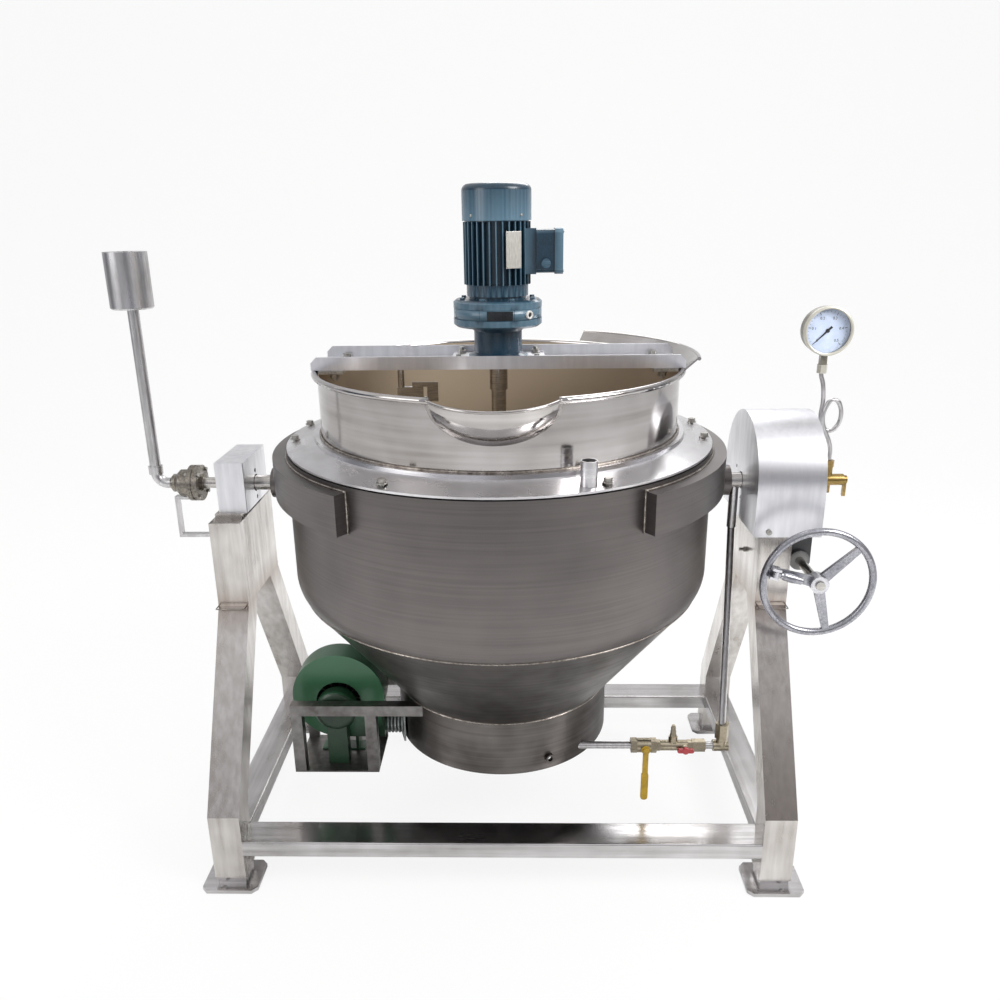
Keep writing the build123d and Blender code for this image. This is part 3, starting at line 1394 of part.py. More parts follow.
# ================================================================ PRESSURE GAUGE ON THE RIGHT TRUNNION
cock_x = 862
cock_top_z = 1033
cock_end_x = 903
key_radius = 6
with BuildPart() as gauge_cock:
    with BuildSketch(along_x(guard_outer_x + 3)):
        with Locations((0, tilt_z)):
            RegularPolygon(22, 6)
    extrude(amount=cock_x - 16 - guard_outer_x - 3)
    with BuildSketch(along_x(cock_x - 16)):
        with Locations((0, tilt_z)):
            Circle(15)
    extrude(amount=cock_end_x - cock_x + 16)
    with BuildSketch(Plane.XY.offset(tilt_z)):
        with Locations((cock_x, 0)):
            Circle(11)
    extrude(amount=cock_top_z - tilt_z - 16)
    with BuildSketch(Plane.XY.offset(cock_top_z - 18)):
        with Locations((cock_x, 0)):
            RegularPolygon(14, 6)
    extrude(amount=18)
    with BuildSketch(Plane.XY.offset(tilt_z - 34)):
        with Locations((cock_x, 0)):
            Circle(9)
    extrude(amount=30)
    with BuildSketch(along_x(guard_outer_x)):
        with Locations((0, tilt_z)):
            Circle(nose_radius + gap)
    extrude(amount=nose_right_x + gap - guard_outer_x, mode=Mode.SUBTRACT)
    with BuildSketch(along_x(cock_end_x - 20)):
        with Locations((0, tilt_z)):
            Circle(key_radius + stem_running_gap)
    extrude(amount=30, mode=Mode.SUBTRACT)
save(gauge_cock, "gauge_cock")

# Cock lever: a key with a flat tail that hangs down.
with BuildPart() as cock_lever:
    with BuildSketch(along_x(cock_end_x - 18)):
        with Locations((0, tilt_z)):
            Circle(key_radius)
    extrude(amount=28)
    with BuildSketch(along_x(cock_end_x + 2)):
        with Locations((0, tilt_z)):
            Circle(11)
        with Locations((0, tilt_z - 23)):
            RectangleRounded(12, 46, 5)
    extrude(amount=7)
save(cock_lever, "cock_lever")

# Siphon: a thin tube with one full pigtail loop between the cock and the gauge.
tube_radius = 5.5
gauge_x = 818
gauge_z = 1369
siphon_top_z = 1262
siphon_steps = 24             # round sections that the tube is lofted through
siphon_points = [
    (cock_x, 0, cock_top_z + gap), (cock_x - 3, -1, 1072), (845, -5, 1104), (831, -8, 1140), (837, -8, 1178),
    (854, -6, 1196), (872, -3, 1180), (879, 0, 1152), (871, 3, 1121), (854, 6, 1110), (837, 8, 1124),
    (830, 8, 1152), (831, 5, 1190), (826, 1, 1228), (gauge_x, 0, siphon_top_z),
]
with BuildPart() as siphon_tube:
    with BuildLine():
        coil = Spline(*siphon_points, tangents=[(0, 0, 1), (-0.2, 0, 1)])
    for step in range(siphon_steps + 1):
        along = step / siphon_steps
        with BuildSketch(Plane(origin=coil @ along, z_dir=coil % along)):
            Circle(tube_radius)
    loft()
save(siphon_tube, "siphon_tube")

# Gauge case: a round cup with bezel, shank and union nut, open at the front.
case_half = 22
with BuildPart() as gauge_case:
    with BuildSketch(Plane(origin=(gauge_x, 0, gauge_z), x_dir=(0, 1, 0), z_dir=(0, 0, 1))):
        with BuildLine():
            Polyline((case_half, 0), (case_half, gauge_radius - 6), (case_half - 4, gauge_radius - 3),
                     (9 - case_half, gauge_radius - 3), (9 - case_half, gauge_radius),
                     (-case_half, gauge_radius), (-case_half - 2, gauge_radius - 4),
                     (-case_half, gauge_radius - 7), (4 - case_half, gauge_radius - 7),
                     (4 - case_half, gauge_radius - 5.5), (case_half - 3, gauge_radius - 5.5),
                     (case_half - 3, 0), close=True)
        make_face()
    revolve(axis=Axis((gauge_x, 0, gauge_z), (0, 1, 0)))
    with BuildSketch(Plane.XY.offset(siphon_top_z + 10)):
        with Locations((gauge_x, 0)):
            Rectangle(16, 16)
    extrude(amount=gauge_z - gauge_radius + 3.5 - siphon_top_z - 10)
    with BuildSketch(Plane.XY.offset(siphon_top_z + gap)):
        with Locations((gauge_x, 0)):
            RegularPolygon(13, 6)
    extrude(amount=22)
save(gauge_case, "gauge_case")

dial_y = -9
with BuildPart() as gauge_dial:
    with BuildSketch(along_y(dial_y)):
        with Locations((gauge_x, gauge_z)):
            Circle(gauge_radius - 5.5 - gap)
            Circle(1.55, mode=Mode.SUBTRACT)
    extrude(amount=1)
    with BuildSketch(along_y(case_half - 3 - gap)):
        with Locations((gauge_x, gauge_z)):
            Circle(7)
            Circle(1.55, mode=Mode.SUBTRACT)
    extrude(amount=case_half - 3 - gap - dial_y)
save(gauge_dial, "gauge_dial")

with BuildPart() as gauge_lens:
    with BuildSketch(along_y(6 - case_half)):
        with Locations((gauge_x, gauge_z)):
            Circle(gauge_radius - 5.5 - gap)
    extrude(amount=2 - gap)
save(gauge_lens, "gauge_lens")

with BuildPart() as gauge_pointer:
    with BuildSketch(along_y(dial_y - 2)):
        with Locations((gauge_x, gauge_z)):
            Circle(5)
            with Locations(Location((0, 0), 225)):
                Polygon((0, -2.2), (42, -0.7), (42, 0.7), (0, 2.2), (-14, 3), (-14, -3), align=None)
    extrude(amount=1.2)
    with BuildSketch(along_y(8)):
        with Locations((gauge_x, gauge_z)):
            Circle(1.5)
    extrude(amount=8 - dial_y + 2.5)
save(gauge_pointer, "gauge_pointer")

# ================================================================ STAND FIXINGS
# Joint bolts, guard screws and the grease nipple on the right column.
nipple_at = (-18, 791)
with BuildPart() as stand_fixings:
    for start, length in ((-797 + gap, 5), (-825 - gap, -5)):
        with BuildSketch(along_x(start)):
            with Locations((0, tilt_z)):
                with PolarLocations(joint_bolt_circle, 4, start_angle=45):
                    RegularPolygon(5.8, 6)
        extrude(amount=length)
    with BuildSketch(along_x(-797 + gap)):
        with Locations((0, tilt_z)):
            with PolarLocations(joint_bolt_circle, 4, start_angle=45):
                Circle(3)
    extrude(amount=-28 - 2 * gap)
    for side in (-1, 1):
        with BuildSketch(along_y(side * (guard_half + gap + 2))):
            with Locations((guard_screw_x, guard_screw_z)):
                Circle(7)
        extrude(amount=2, both=True)
        with BuildSketch(along_y(side * guard_half)):
            with Locations((guard_screw_x, guard_screw_z)):
                Circle(3)
        extrude(amount=sheet, both=True)
    with BuildSketch(along_x(leg_inner_x - gap)):
        with Locations(nipple_at):
            RegularPolygon(7, 6)
    extrude(amount=-6)
    with BuildSketch(along_x(leg_inner_x - gap)):
        with Locations(nipple_at):
            Circle(4)
    extrude(amount=-18)
save(stand_fixings, "stand_fixings")
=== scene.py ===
import math

import bmesh
import bpy
from mathutils import Matrix, Vector


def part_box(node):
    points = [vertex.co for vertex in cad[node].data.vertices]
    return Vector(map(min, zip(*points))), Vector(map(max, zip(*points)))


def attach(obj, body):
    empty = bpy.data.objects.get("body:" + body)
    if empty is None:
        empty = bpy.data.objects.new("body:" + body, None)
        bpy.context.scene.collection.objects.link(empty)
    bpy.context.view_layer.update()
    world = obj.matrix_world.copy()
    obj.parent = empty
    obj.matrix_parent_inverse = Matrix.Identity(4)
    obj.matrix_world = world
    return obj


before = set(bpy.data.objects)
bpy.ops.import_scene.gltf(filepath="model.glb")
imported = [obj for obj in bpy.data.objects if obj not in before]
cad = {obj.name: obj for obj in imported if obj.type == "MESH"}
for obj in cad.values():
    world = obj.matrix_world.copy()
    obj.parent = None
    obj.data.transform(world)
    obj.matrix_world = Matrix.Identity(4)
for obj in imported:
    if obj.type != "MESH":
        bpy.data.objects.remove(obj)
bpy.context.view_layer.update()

# ---------------------------------------------------------------- Studio and camera
# A pale floor that curves up into a pale backdrop, one large soft lamp high on the right, a weaker one on
# the left and one behind, and a room that is bright overhead and greyer near the horizon, with dark blue
# and brown patches low down that the polished metal mirrors as a workshop would show in it.


def linear(hex_code):
    """An sRGB hex colour as linear RGBA."""
    channels = [int(hex_code[i : i + 2], 16) / 255 for i in (0, 2, 4)]
    return (*[c / 12.92 if c <= 0.04045 else ((c + 0.055) / 1.055) ** 2.4 for c in channels], 1.0)


def add_node(owner, kind, inputs=None, **settings):
    """Add one node to a material or world; inputs maps sockets to values or to the sockets linked in."""
    node = owner.node_tree.nodes.new(kind)
    for name, value in settings.items():
        setattr(node, name, value)
    for socket, value in (inputs or {}).items():
        if isinstance(value, bpy.types.NodeSocket):
            owner.node_tree.links.new(value, node.inputs[socket])
        else:
            node.inputs[socket].default_value = value
    return node


def blank_material(name):
    """An empty material with an output node; returns the material and that node."""
    material = bpy.data.materials.new(name)
    material.use_nodes = True
    material.node_tree.nodes.clear()
    return material, add_node(material, "ShaderNodeOutputMaterial")


def mesh_piece(name, vertices, faces, material, body, smooth=True):
    """A mesh object that rides on a body of the model."""
    mesh = bpy.data.meshes.new(name)
    mesh.from_pydata(vertices, [], faces)
    mesh.validate()
    for polygon in mesh.polygons:
        polygon.use_smooth = smooth
    mesh.materials.append(material)
    piece = bpy.data.objects.new(name, mesh)
    bpy.context.scene.collection.objects.link(piece)
    if body:
        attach(piece, body)
    return piece


# Matt white paper: even and without a shine; the camera sees most of it as its own plain white.
paper_own_white = 0.86
paper, paper_out = blank_material("matt_white_paper")
paper_shader = add_node(
    paper, "ShaderNodeBsdfPrincipled", {"Base Color": linear("F4F4F3"), "Roughness": 0.9}
)
paper_seen = add_node(paper, "ShaderNodeLightPath").outputs["Is Camera Ray"]
paper_glow = add_node(paper, "ShaderNodeEmission", {0: linear("FFFFFF"), 1: 1.0})
paper_share = add_node(
    paper, "ShaderNodeMath", {0: paper_seen, 1: paper_own_white}, operation="MULTIPLY"
)
paper_mix = add_node(
    paper,
    "ShaderNodeMixShader",
    {0: paper_share.outputs[0], 1: paper_shader.outputs[0], 2: paper_glow.outputs[0]},
)
paper.node_tree.links.new(paper_mix.outputs[0], paper_out.inputs[0])

backdrop_front, backdrop_back, backdrop_half, backdrop_top, sweep_radius = -6.0, 3.2, 9.0, 6.0, 2.2
sweep_steps = 24
profile = [(backdrop_front, 0.0)]
for step in range(sweep_steps + 1):
    turn = math.pi / 2 * step / sweep_steps
    profile.append(
        (backdrop_back + sweep_radius * math.sin(turn), sweep_radius * (1 - math.cos(turn)))
    )
profile.append((backdrop_back + sweep_radius, backdrop_top))
backdrop = mesh_piece(
    "backdrop",
    [(x, y, z) for y, z in profile for x in (-backdrop_half, backdrop_half)],
    [(2 * i, 2 * i + 1, 2 * i + 3, 2 * i + 2) for i in range(len(profile) - 1)],
    paper,
    None,
)

room = bpy.data.worlds.new("studio_room")
bpy.context.scene.world = room
room.use_nodes = True
room.node_tree.nodes.clear()
room_out = add_node(room, "ShaderNodeOutputWorld")
room_direction = add_node(room, "ShaderNodeTexCoord").outputs["Generated"]
room_height = add_node(room, "ShaderNodeSeparateXYZ", {0: room_direction}).outputs["Z"]
room_ramp = add_node(room, "ShaderNodeValToRGB", {0: room_height})
room_ramp.color_ramp.elements[0].color = linear("C2C2C8")
room_ramp.color_ramp.elements[1].color = linear("FFFFFF")
for position, tone in ((0.12, "C6C6CC"), (0.3, "D8D8DC"), (0.55, "F8F8FB")):
    room_ramp.color_ramp.elements.new(position).color = linear(tone)
room_blocks = add_node(
    room, "ShaderNodeTexNoise", {"Vector": room_direction, "Scale": 2.6, "Detail": 1.5}
)
room_edge = add_node(room, "ShaderNodeMapRange", {0: room_blocks.outputs[0], 1: 0.47, 2: 0.56})
room_low = add_node(room, "ShaderNodeMapRange", {0: room_height, 1: 0.62, 2: 0.2})
room_dark = add_node(
    room, "ShaderNodeMath", {0: room_edge.outputs[0], 1: room_low.outputs[0]}, operation="MULTIPLY"
)
room_side = add_node(
    room, "ShaderNodeTexNoise", {"Vector": room_direction, "Scale": 1.7, "Detail": 0.5}
)
room_share = add_node(room, "ShaderNodeMapRange", {0: room_side.outputs[0], 1: 0.45, 2: 0.55})
room_block = add_node(
    room,
    "ShaderNodeMix",
    {"Factor": room_share.outputs[0], 6: linear("4B5563"), 7: linear("6E5D50")},
    data_type="RGBA",
)
room_colour = add_node(
    room,
    "ShaderNodeMix",
    {"Factor": room_dark.outputs[0], 6: room_ramp.outputs[0], 7: room_block.outputs[2]},
    data_type="RGBA",
)
room_light = add_node(room, "ShaderNodeBackground", {0: room_colour.outputs[2], 1: 0.9})
room_plain = add_node(room, "ShaderNodeBackground", {0: linear("F6F6F6"), 1: 1.0})
room_seen = add_node(room, "ShaderNodeLightPath").outputs["Is Camera Ray"]
room_shader = add_node(
    room,
    "ShaderNodeMixShader",
    {0: room_seen, 1: room_light.outputs[0], 2: room_plain.outputs[0]},
)
room.node_tree.links.new(room_shader.outputs[0], room_out.inputs[0])


def soft_lamp(name, place, target, size, power):
    """A square soft lamp aimed at a point."""
    data = bpy.data.lights.new(name, "AREA")
    data.shape, data.size, data.energy = "SQUARE", size, power
    lamp = bpy.data.objects.new(name, data)
    lamp.location = place
    lamp.rotation_euler = (Vector(target) - Vector(place)).to_track_quat("-Z", "Y").to_euler()
    bpy.context.scene.collection.objects.link(lamp)


soft_lamp("lamp_right", (3.0, -1.6, 3.4), (0, 0, 0.9), 1.8, 110)
soft_lamp("lamp_left", (-3.4, -2.4, 2.6), (0, 0, 0.8), 2.2, 40)
soft_lamp("lamp_back", (0.6, 2.6, 3.6), (0, 0, 1.0), 2.0, 50)

camera_data = bpy.data.cameras.new("camera")
camera_data.lens = 30.6
camera_data.sensor_width = 36
camera = bpy.data.objects.new("camera", camera_data)
camera_down, camera_yaw, camera_roll = (math.radians(degrees) for degrees in (18.3, -1.4, 0.7))
ahead = Vector(
    (
        math.sin(camera_yaw) * math.cos(camera_down),
        math.cos(camera_yaw) * math.cos(camera_down),
        -math.sin(camera_down),
    )
)
level_turn = ahead.to_track_quat("-Z", "Y")
camera.location = (0.0526, -2.1605, 1.6418)
camera.rotation_mode = "QUATERNION"
camera.rotation_quaternion = level_turn @ Matrix.Rotation(-camera_roll, 3, "Z").to_quaternion()
bpy.context.scene.collection.objects.link(camera)
bpy.context.scene.camera = camera
bpy.context.scene.view_settings.view_transform = "Standard"

# ---------------------------------------------------------------- Stand
# Two A-frames of stainless sheet folded into box legs and columns, polished with a belt and joined by
# beams and rails on foot plates. A ground weld closes the joint of each column and its two legs.


def steel(
    name, light, dark, grain, patch, rough, relief,
    metallic=1.0, coat=0.0, worn=None, spread=0.5, tint=None, lining=None,
):
    """A ground, polished or painted surface. grain is how many marks there are in a metre along X, Y and Z
    and patch how many changes of tone. Real belt lines and grit are 0.1 to 0.3 mm wide, too fine to show,
    so the marks are drawn 2 to 20 mm wide. rough is the least and most roughness, relief the depth of the
    marks in millimetres, spread how much of the tone comes from the marks, worn the colour at edges. tint
    is the height and reach of a band that welding has coloured, and its colour; lining is the radius round
    the bowl's axis inside which the sheet is matt, and its colour."""
    material, out = blank_material(name)
    place = add_node(material, "ShaderNodeTexCoord").outputs["Object"]
    along = add_node(material, "ShaderNodeMapping", {"Vector": place, "Scale": grain})
    marks = add_node(
        material, "ShaderNodeTexNoise", {"Vector": along.outputs[0], "Scale": 1.0, "Detail": 4.0}
    )
    clouds = add_node(
        material,
        "ShaderNodeTexNoise",
        {"Vector": place, "Scale": patch, "Detail": 3.0, "Roughness": 0.6},
    )
    tone = add_node(
        material,
        "ShaderNodeMix",
        {"Factor": spread, 2: clouds.outputs[0], 3: marks.outputs[0]},
        data_type="FLOAT",
    )
    ramp = add_node(material, "ShaderNodeValToRGB", {0: tone.outputs[0]})
    dark_end, light_end = ramp.color_ramp.elements
    dark_end.position, light_end.position = 0.34, 0.66
    dark_end.color, light_end.color = linear(dark), linear(light)
    colour = ramp.outputs[0]
    if worn:
        edge = add_node(material, "ShaderNodeNewGeometry").outputs["Pointiness"]
        rub = add_node(material, "ShaderNodeMapRange", {0: edge, 1: 0.52, 2: 0.60})
        colour = add_node(
            material,
            "ShaderNodeMix",
            {0: rub.outputs[0], 6: colour, 7: linear(worn)},
            data_type="RGBA",
        ).outputs[2]
    dullness = add_node(
        material, "ShaderNodeMapRange", {0: tone.outputs[0], 1: 0.3, 2: 0.7, 3: rough[1], 4: rough[0]}
    ).outputs[0]
    metal = metallic
    if tint:
        tint_height, tint_reach, tint_colour = tint
        height = add_node(material, "ShaderNodeSeparateXYZ", {0: place}).outputs["Z"]
        away = add_node(material, "ShaderNodeMath", {0: height, 1: tint_height}, operation="SUBTRACT")
        away = add_node(material, "ShaderNodeMath", {0: away.outputs[0]}, operation="ABSOLUTE")
        band = add_node(material, "ShaderNodeMapRange", {0: away.outputs[0], 1: tint_reach, 2: 0.0})
        heat = add_node(
            material, "ShaderNodeMath", {0: band.outputs[0], 1: clouds.outputs[0]}, operation="MULTIPLY"
        )
        colour = add_node(
            material,
            "ShaderNodeMix",
            {0: heat.outputs[0], 6: colour, 7: linear(tint_colour)},
            data_type="RGBA",
        ).outputs[2]
    if lining:
        lining_radius, lining_colour = lining
        flat = add_node(
            material, "ShaderNodeVectorMath", {0: place, 1: (1, 1, 0)}, operation="MULTIPLY"
        )
        radius = add_node(
            material, "ShaderNodeVectorMath", {0: flat.outputs[0]}, operation="LENGTH"
        ).outputs["Value"]
        inside = add_node(
            material, "ShaderNodeMath", {0: radius, 1: lining_radius}, operation="LESS_THAN"
        ).outputs[0]
        colour = add_node(
            material,
            "ShaderNodeMix",
            {0: inside, 6: colour, 7: linear(lining_colour)},
            data_type="RGBA",
        ).outputs[2]
        dullness = add_node(
            material, "ShaderNodeMapRange", {0: inside, 3: dullness, 4: 0.62}
        ).outputs[0]
        metal = add_node(material, "ShaderNodeMapRange", {0: inside, 3: metal, 4: 0.35}).outputs[0]
    bump = add_node(
        material,
        "ShaderNodeBump",
        {"Height": marks.outputs[0], "Distance": relief / 1000, "Strength": 0.6},
    )
    shader = add_node(
        material,
        "ShaderNodeBsdfPrincipled",
        {
            "Base Color": colour,
            "Metallic": metal,
            "Roughness": dullness,
            "Normal": bump.outputs[0],
            "Coat Weight": coat,
            "Coat Roughness": 0.12,
        },
    )
    material.node_tree.links.new(shader.outputs[0], out.inputs[0])
    return material


def dress(material, *names, bevel=1.0):
    """Give CAD nodes their finish and soft edges (bevel in millimetres)."""
    for name in names:
        node = cad[name]
        for slot in node.material_slots:
            slot.material = material
        if bevel:
            rounding = node.modifiers.new("edge", "BEVEL")
            rounding.width = bevel / 1000
            rounding.segments = 2
            rounding.limit_method = "ANGLE"
            rounding.angle_limit = math.radians(40)
            rounding.harden_normals = True


# Belt-polished stainless: soft streaks along each member, clouded where the belt lifted, and on the
# uprights a brown heat tint at the welded joint.
upright_steel = steel(
    "polished_stainless_upright", "DEDBD8", "A8A29C", (60, 60, 5), 5, (0.16, 0.32), 0.03,
    spread=0.4, tint=(0.684, 0.07, "6E4F36"),
)
level_steel = steel(
    "polished_stainless_beam", "DCDADB", "A3A09F", (3, 70, 70), 5, (0.16, 0.3), 0.03, spread=0.45
)
rail_steel = steel(
    "polished_stainless_rail", "D2D0D0", "9C9998", (70, 3, 70), 5, (0.18, 0.32), 0.03, spread=0.45
)
# Zinc-plated steel: a pale, slightly mottled grey on every bolt head.
plated_steel = steel(
    "zinc_plated_fixings", "C8C6C0", "8F8C86", (200, 200, 200), 30, (0.28, 0.45), 0.02, spread=0.5
)
# Weld bead: bright crests, with dull straw-brown oxide between the ripples.
weld_steel = steel(
    "weld_bead_stainless", "B9B2AA", "6E655E", (90, 90, 90), 45, (0.22, 0.4), 0.1, spread=0.6
)
dress(upright_steel, "front_legs", "rear_legs", "columns", bevel=2.0)
dress(level_steel, "front_beam", "rear_beam", "foot_plates", bevel=1.0)
dress(rail_steel, "side_rails", bevel=1.0)
dress(plated_steel, "stand_fixings", bevel=0.5)


def tube(name, points, radius, material, body, closed=False, sides=8, ripple=0.0):
    """A round bar along points; ripple is the share by which every second ring swells."""
    count = len(points)
    vertices = []
    for i, point in enumerate(points):
        before = points[i - 1] if closed or i else point
        after = points[(i + 1) % count] if closed or i < count - 1 else point
        along = (Vector(after) - Vector(before)).normalized()
        reference = Vector((0, 0, 1)) if abs(along.z) < 0.9 else Vector((1, 0, 0))
        across = along.cross(reference).normalized()
        up = across.cross(along)
        swell = radius * (1 + (ripple if i % 2 else -ripple))
        for k in range(sides):
            turn = 2 * math.pi * k / sides
            offset = swell * (math.cos(turn) * across + math.sin(turn) * up)
            vertices.append(Vector(point) + offset)
    faces = []
    for i in range(count if closed else count - 1):
        j = (i + 1) % count
        for k in range(sides):
            m = (k + 1) % sides
            faces.append((i * sides + k, i * sides + m, j * sides + m, j * sides + k))
    if not closed:
        last_ring = (count - 1) * sides
        faces += [tuple(range(sides))[::-1], tuple(last_ring + k for k in range(sides))]
    return mesh_piece(name, vertices, faces, material, body)


def straight(start, end, step=0.004):
    """Points every step metres from start up to, but not at, end."""
    a, b = Vector(start), Vector(end)
    count = max(1, int((b - a).length / step))
    return [tuple(a.lerp(b, i / count)) for i in range(count)]


column_low, column_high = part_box("columns")
seam_width, seam_depth, seam_bead, bead_sides = 0.074, 0.102, 0.0015, 6
for side, sign in (("left", -1), ("right", 1)):
    for end, facing in (("front", -1), ("rear", 1)):
        outer, inner = sign * column_high[0], sign * (column_high[0] - seam_width)
        near = facing * column_high[1]
        far = near - facing * seam_depth
        corners = [(outer, near), (inner, near), (inner, far), (outer, far)]
        ring = []
        for here, there in zip(corners, corners[1:] + corners[:1]):
            ring += straight((*here, column_low[2]), (*there, column_low[2]))
        seam = tube(
            f"weld_leg_{side}_{end}", ring, seam_bead, weld_steel, "stand", True, bead_sides, 0.1
        )

# ---------------------------------------------------------------- Bearings and their covers
# Cast iron pillow blocks on top of the columns carry the hollow trunnions. A folded box covers the left
# one, and a round-topped guard of bright sheet covers the right one and the worm wheel.

# Bright rolled sheet: paler and more even than the legs, with faint upright lines.
guard_steel = steel(
    "bright_stainless_cover", "F4F4F7", "D6D6DA", (60, 60, 8), 4, (0.26, 0.4), 0.02, spread=0.4
)
# Turned stainless: fine rings round the shaft and a narrow bright highlight.
turned_steel = steel(
    "turned_stainless_shaft", "D2CFCB", "A5A19C", (40, 40, 400), 9, (0.16, 0.28), 0.01, spread=0.6
)
# Machined cast iron: dark grey, with a fine pitted skin.
rough_iron = steel(
    "cast_iron_machined", "5C5A58", "343230", (300, 300, 300), 20, (0.4, 0.6), 0.15, metallic=0.7
)
dress(guard_steel, "bearing_box", "gear_guard", bevel=1.5)
dress(turned_steel, "trunnion_left", "trunnion_right", bevel=0.5)
dress(rough_iron, "pillow_blocks", "worm_wheel", bevel=0)

# ---------------------------------------------------------------- Gearbox and handwheel
# A worm in a cast box under the guard turns the wheel. Its shaft runs forward to a cast handwheel with
# three spokes and a handle that folds down into the rim.

# Black enamel over a sand casting: a low sheen, with grey metal worn bare at the corners.
gear_paint = steel(
    "black_enamel_casting", "38393B", "1D1E20", (250, 250, 250), 20, (0.35, 0.5), 0.15,
    metallic=0.0, coat=0.2, worn="7A7A78", spread=0.5,
)
# Aluminium paint over a casting: a bright metallic skin with a faint orange-peel.
silver_paint = steel(
    "silver_paint_casting", "B6B6BC", "85858D", (220, 220, 220), 18, (0.2, 0.36), 0.1,
    metallic=0.85, coat=0.15, worn="D8D8DC", spread=0.5,
)
dress(turned_steel, "worm_shaft", "worm", bevel=0.5)
dress(gear_paint, "worm_gearbox", bevel=2.0)
dress(silver_paint, "handwheel", "fold_handle", bevel=1.5)

# ---------------------------------------------------------------- Jacket, saddles and deck
# The jacket is a drum of ground stainless plate with a dished bottom. Two curved saddles welded to its
# sides take the trunnions, and a polished ring bolted over a rubber gasket closes its top.


def arc(radius, height, start, end, step=0.004):
    """Points every step metres along a circle round the bowl's axis, from start to end in degrees."""
    count = max(2, int(abs(math.radians(end - start)) * radius / step))
    turns = [math.radians(start + (end - start) * i / count) for i in range(count + 1)]
    return [(radius * math.cos(t), radius * math.sin(t), height) for t in turns]


# Ground plate: dull, with faint marks that run round the drum.
jacket_steel = steel(
    "ground_stainless_jacket", "787371", "635F5E", (2.5, 2.5, 210), 2.5, (0.33, 0.46), 0.02, spread=0.3
)
# Polished plate: bright but blurred, clouded by handling.
deck_steel = steel(
    "polished_stainless_deck", "E6E5E7", "BFBDBE", (5, 5, 60), 6, (0.2, 0.36), 0.02, spread=0.5
)
# Black rubber: matt, a thin dark line under the deck.
rubber = steel(
    "black_rubber_gasket", "1E1E1E", "0E0E0E", (200, 200, 200), 40, (0.7, 0.85), 0.1, metallic=0.0
)
dress(jacket_steel, "jacket_shell", "saddles", bevel=2.0)
dress(deck_steel, "deck_ring", "vent_nozzle", bevel=0.8)
dress(plated_steel, "deck_bolts", bevel=0.5)
dress(rubber, "jacket_gasket", bevel=0)

saddle_low, saddle_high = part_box("saddles")
weld_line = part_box("jacket_shell")[1][0] + 0.0012
saddle_half_wrap, boss_below_band, saddle_bead = 54, 0.058, 0.0028
for side, middle in (("right", 0), ("left", 180)):
    first, last = middle - saddle_half_wrap, middle + saddle_half_wrap
    top = arc(weld_line, saddle_high[2] + 0.001, first, last)
    bottom = arc(weld_line, saddle_low[2] + boss_below_band, last, first)
    ring = top + straight(top[-1], bottom[0])[1:] + bottom + straight(bottom[-1], top[0])[1:]
    outline = tube(
        f"weld_saddle_{side}", ring, saddle_bead, weld_steel, "kettle", True, bead_sides, 0.12
    )

# ---------------------------------------------------------------- Pot
# A spun pot, mirror polished outside and left matt inside, stands through the deck in a welded collar.
# At the front its rim dips into a pouring lip, whose edge is turned over like the bead round the rim.

# Mirror-polished sheet: sharp reflections with faint spinning marks; the inside is matt and warm grey.
pot_steel = steel(
    "mirror_stainless_pot", "CECBCA", "A29D99", (2, 2, 70), 4, (0.07, 0.17), 0.012,
    spread=0.35, lining=(0.4508, "B4A48F"),
)
dress(pot_steel, "inner_pot", bevel=0)

collar_radius, collar_height, collar_bead = 0.4555, 1.1375, 0.003
nearly_round = 359.5
collar_weld = tube(
    "weld_collar",
    arc(collar_radius, collar_height, 0, nearly_round),
    collar_bead, weld_steel, "kettle", True, bead_sides, 0.1,
)

lip_radius, lip_centre_y, rim_height, lip_edge_radius = 0.165, -0.350, 1.287, 0.0034
lip_start, lip_sweep, lip_steps = -151, 122, 60
rim_leaves_y, lip_tip_y, lip_fall = -0.441, -0.525, 0.010
lip_points = []
for i in range(lip_steps + 1):
    turn = math.radians(lip_start + lip_sweep * i / lip_steps)
    y = lip_centre_y + lip_radius * math.sin(turn)
    dip = lip_fall * (y - rim_leaves_y) / (lip_tip_y - rim_leaves_y)
    lip_points.append((lip_radius * math.cos(turn), y, rim_height - max(0.0, dip)))
lip_edge = tube("lip_edge", lip_points, lip_edge_radius, pot_steel, "kettle", sides=10)

# ---------------------------------------------------------------- Flue cone, burner housing and burner
# A cone of stainless sheet under the jacket leads down to the round housing of the gas burner, which has
# a small port for lighting it. Both are welded all round and have darkened with heat.

# Heat-darkened stainless: brown-grey, uneven, with the grinding marks still showing.
flue_steel = steel(
    "heat_darkened_stainless", "716D6A", "3F3B39", (2.5, 2.5, 140), 5, (0.26, 0.42), 0.02, spread=0.25
)
# Burnt cast iron: nearly black and rough.
burner_iron = steel(
    "cast_iron_burner", "3B3633", "1F1C1A", (250, 250, 250), 20, (0.6, 0.8), 0.3, metallic=0.4
)
dress(flue_steel, "cone_skirt", "burner_housing", "ignition_port", bevel=0)
dress(burner_iron, "gas_burner", bevel=1.0)
for part, proud, bead in (("cone_skirt", -0.0005, 0.0022), ("burner_housing", 0.0006, 0.0024)):
    part_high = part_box(part)[1]
    seam = tube(
        {"cone_skirt": "weld_cone", "burner_housing": "weld_housing"}[part],
        arc(part_high[0] + proud, part_high[2], 0, nearly_round),
        bead, weld_steel, "kettle", True, bead_sides, 0.12,
    )

# ---------------------------------------------------------------- Stirrer and temperature probe
# A folded channel bolted across the rim carries the drive. Below it hang the anchor stirrer, with plastic
# scrapers that wipe the pot, and a thin rod with a temperature probe.

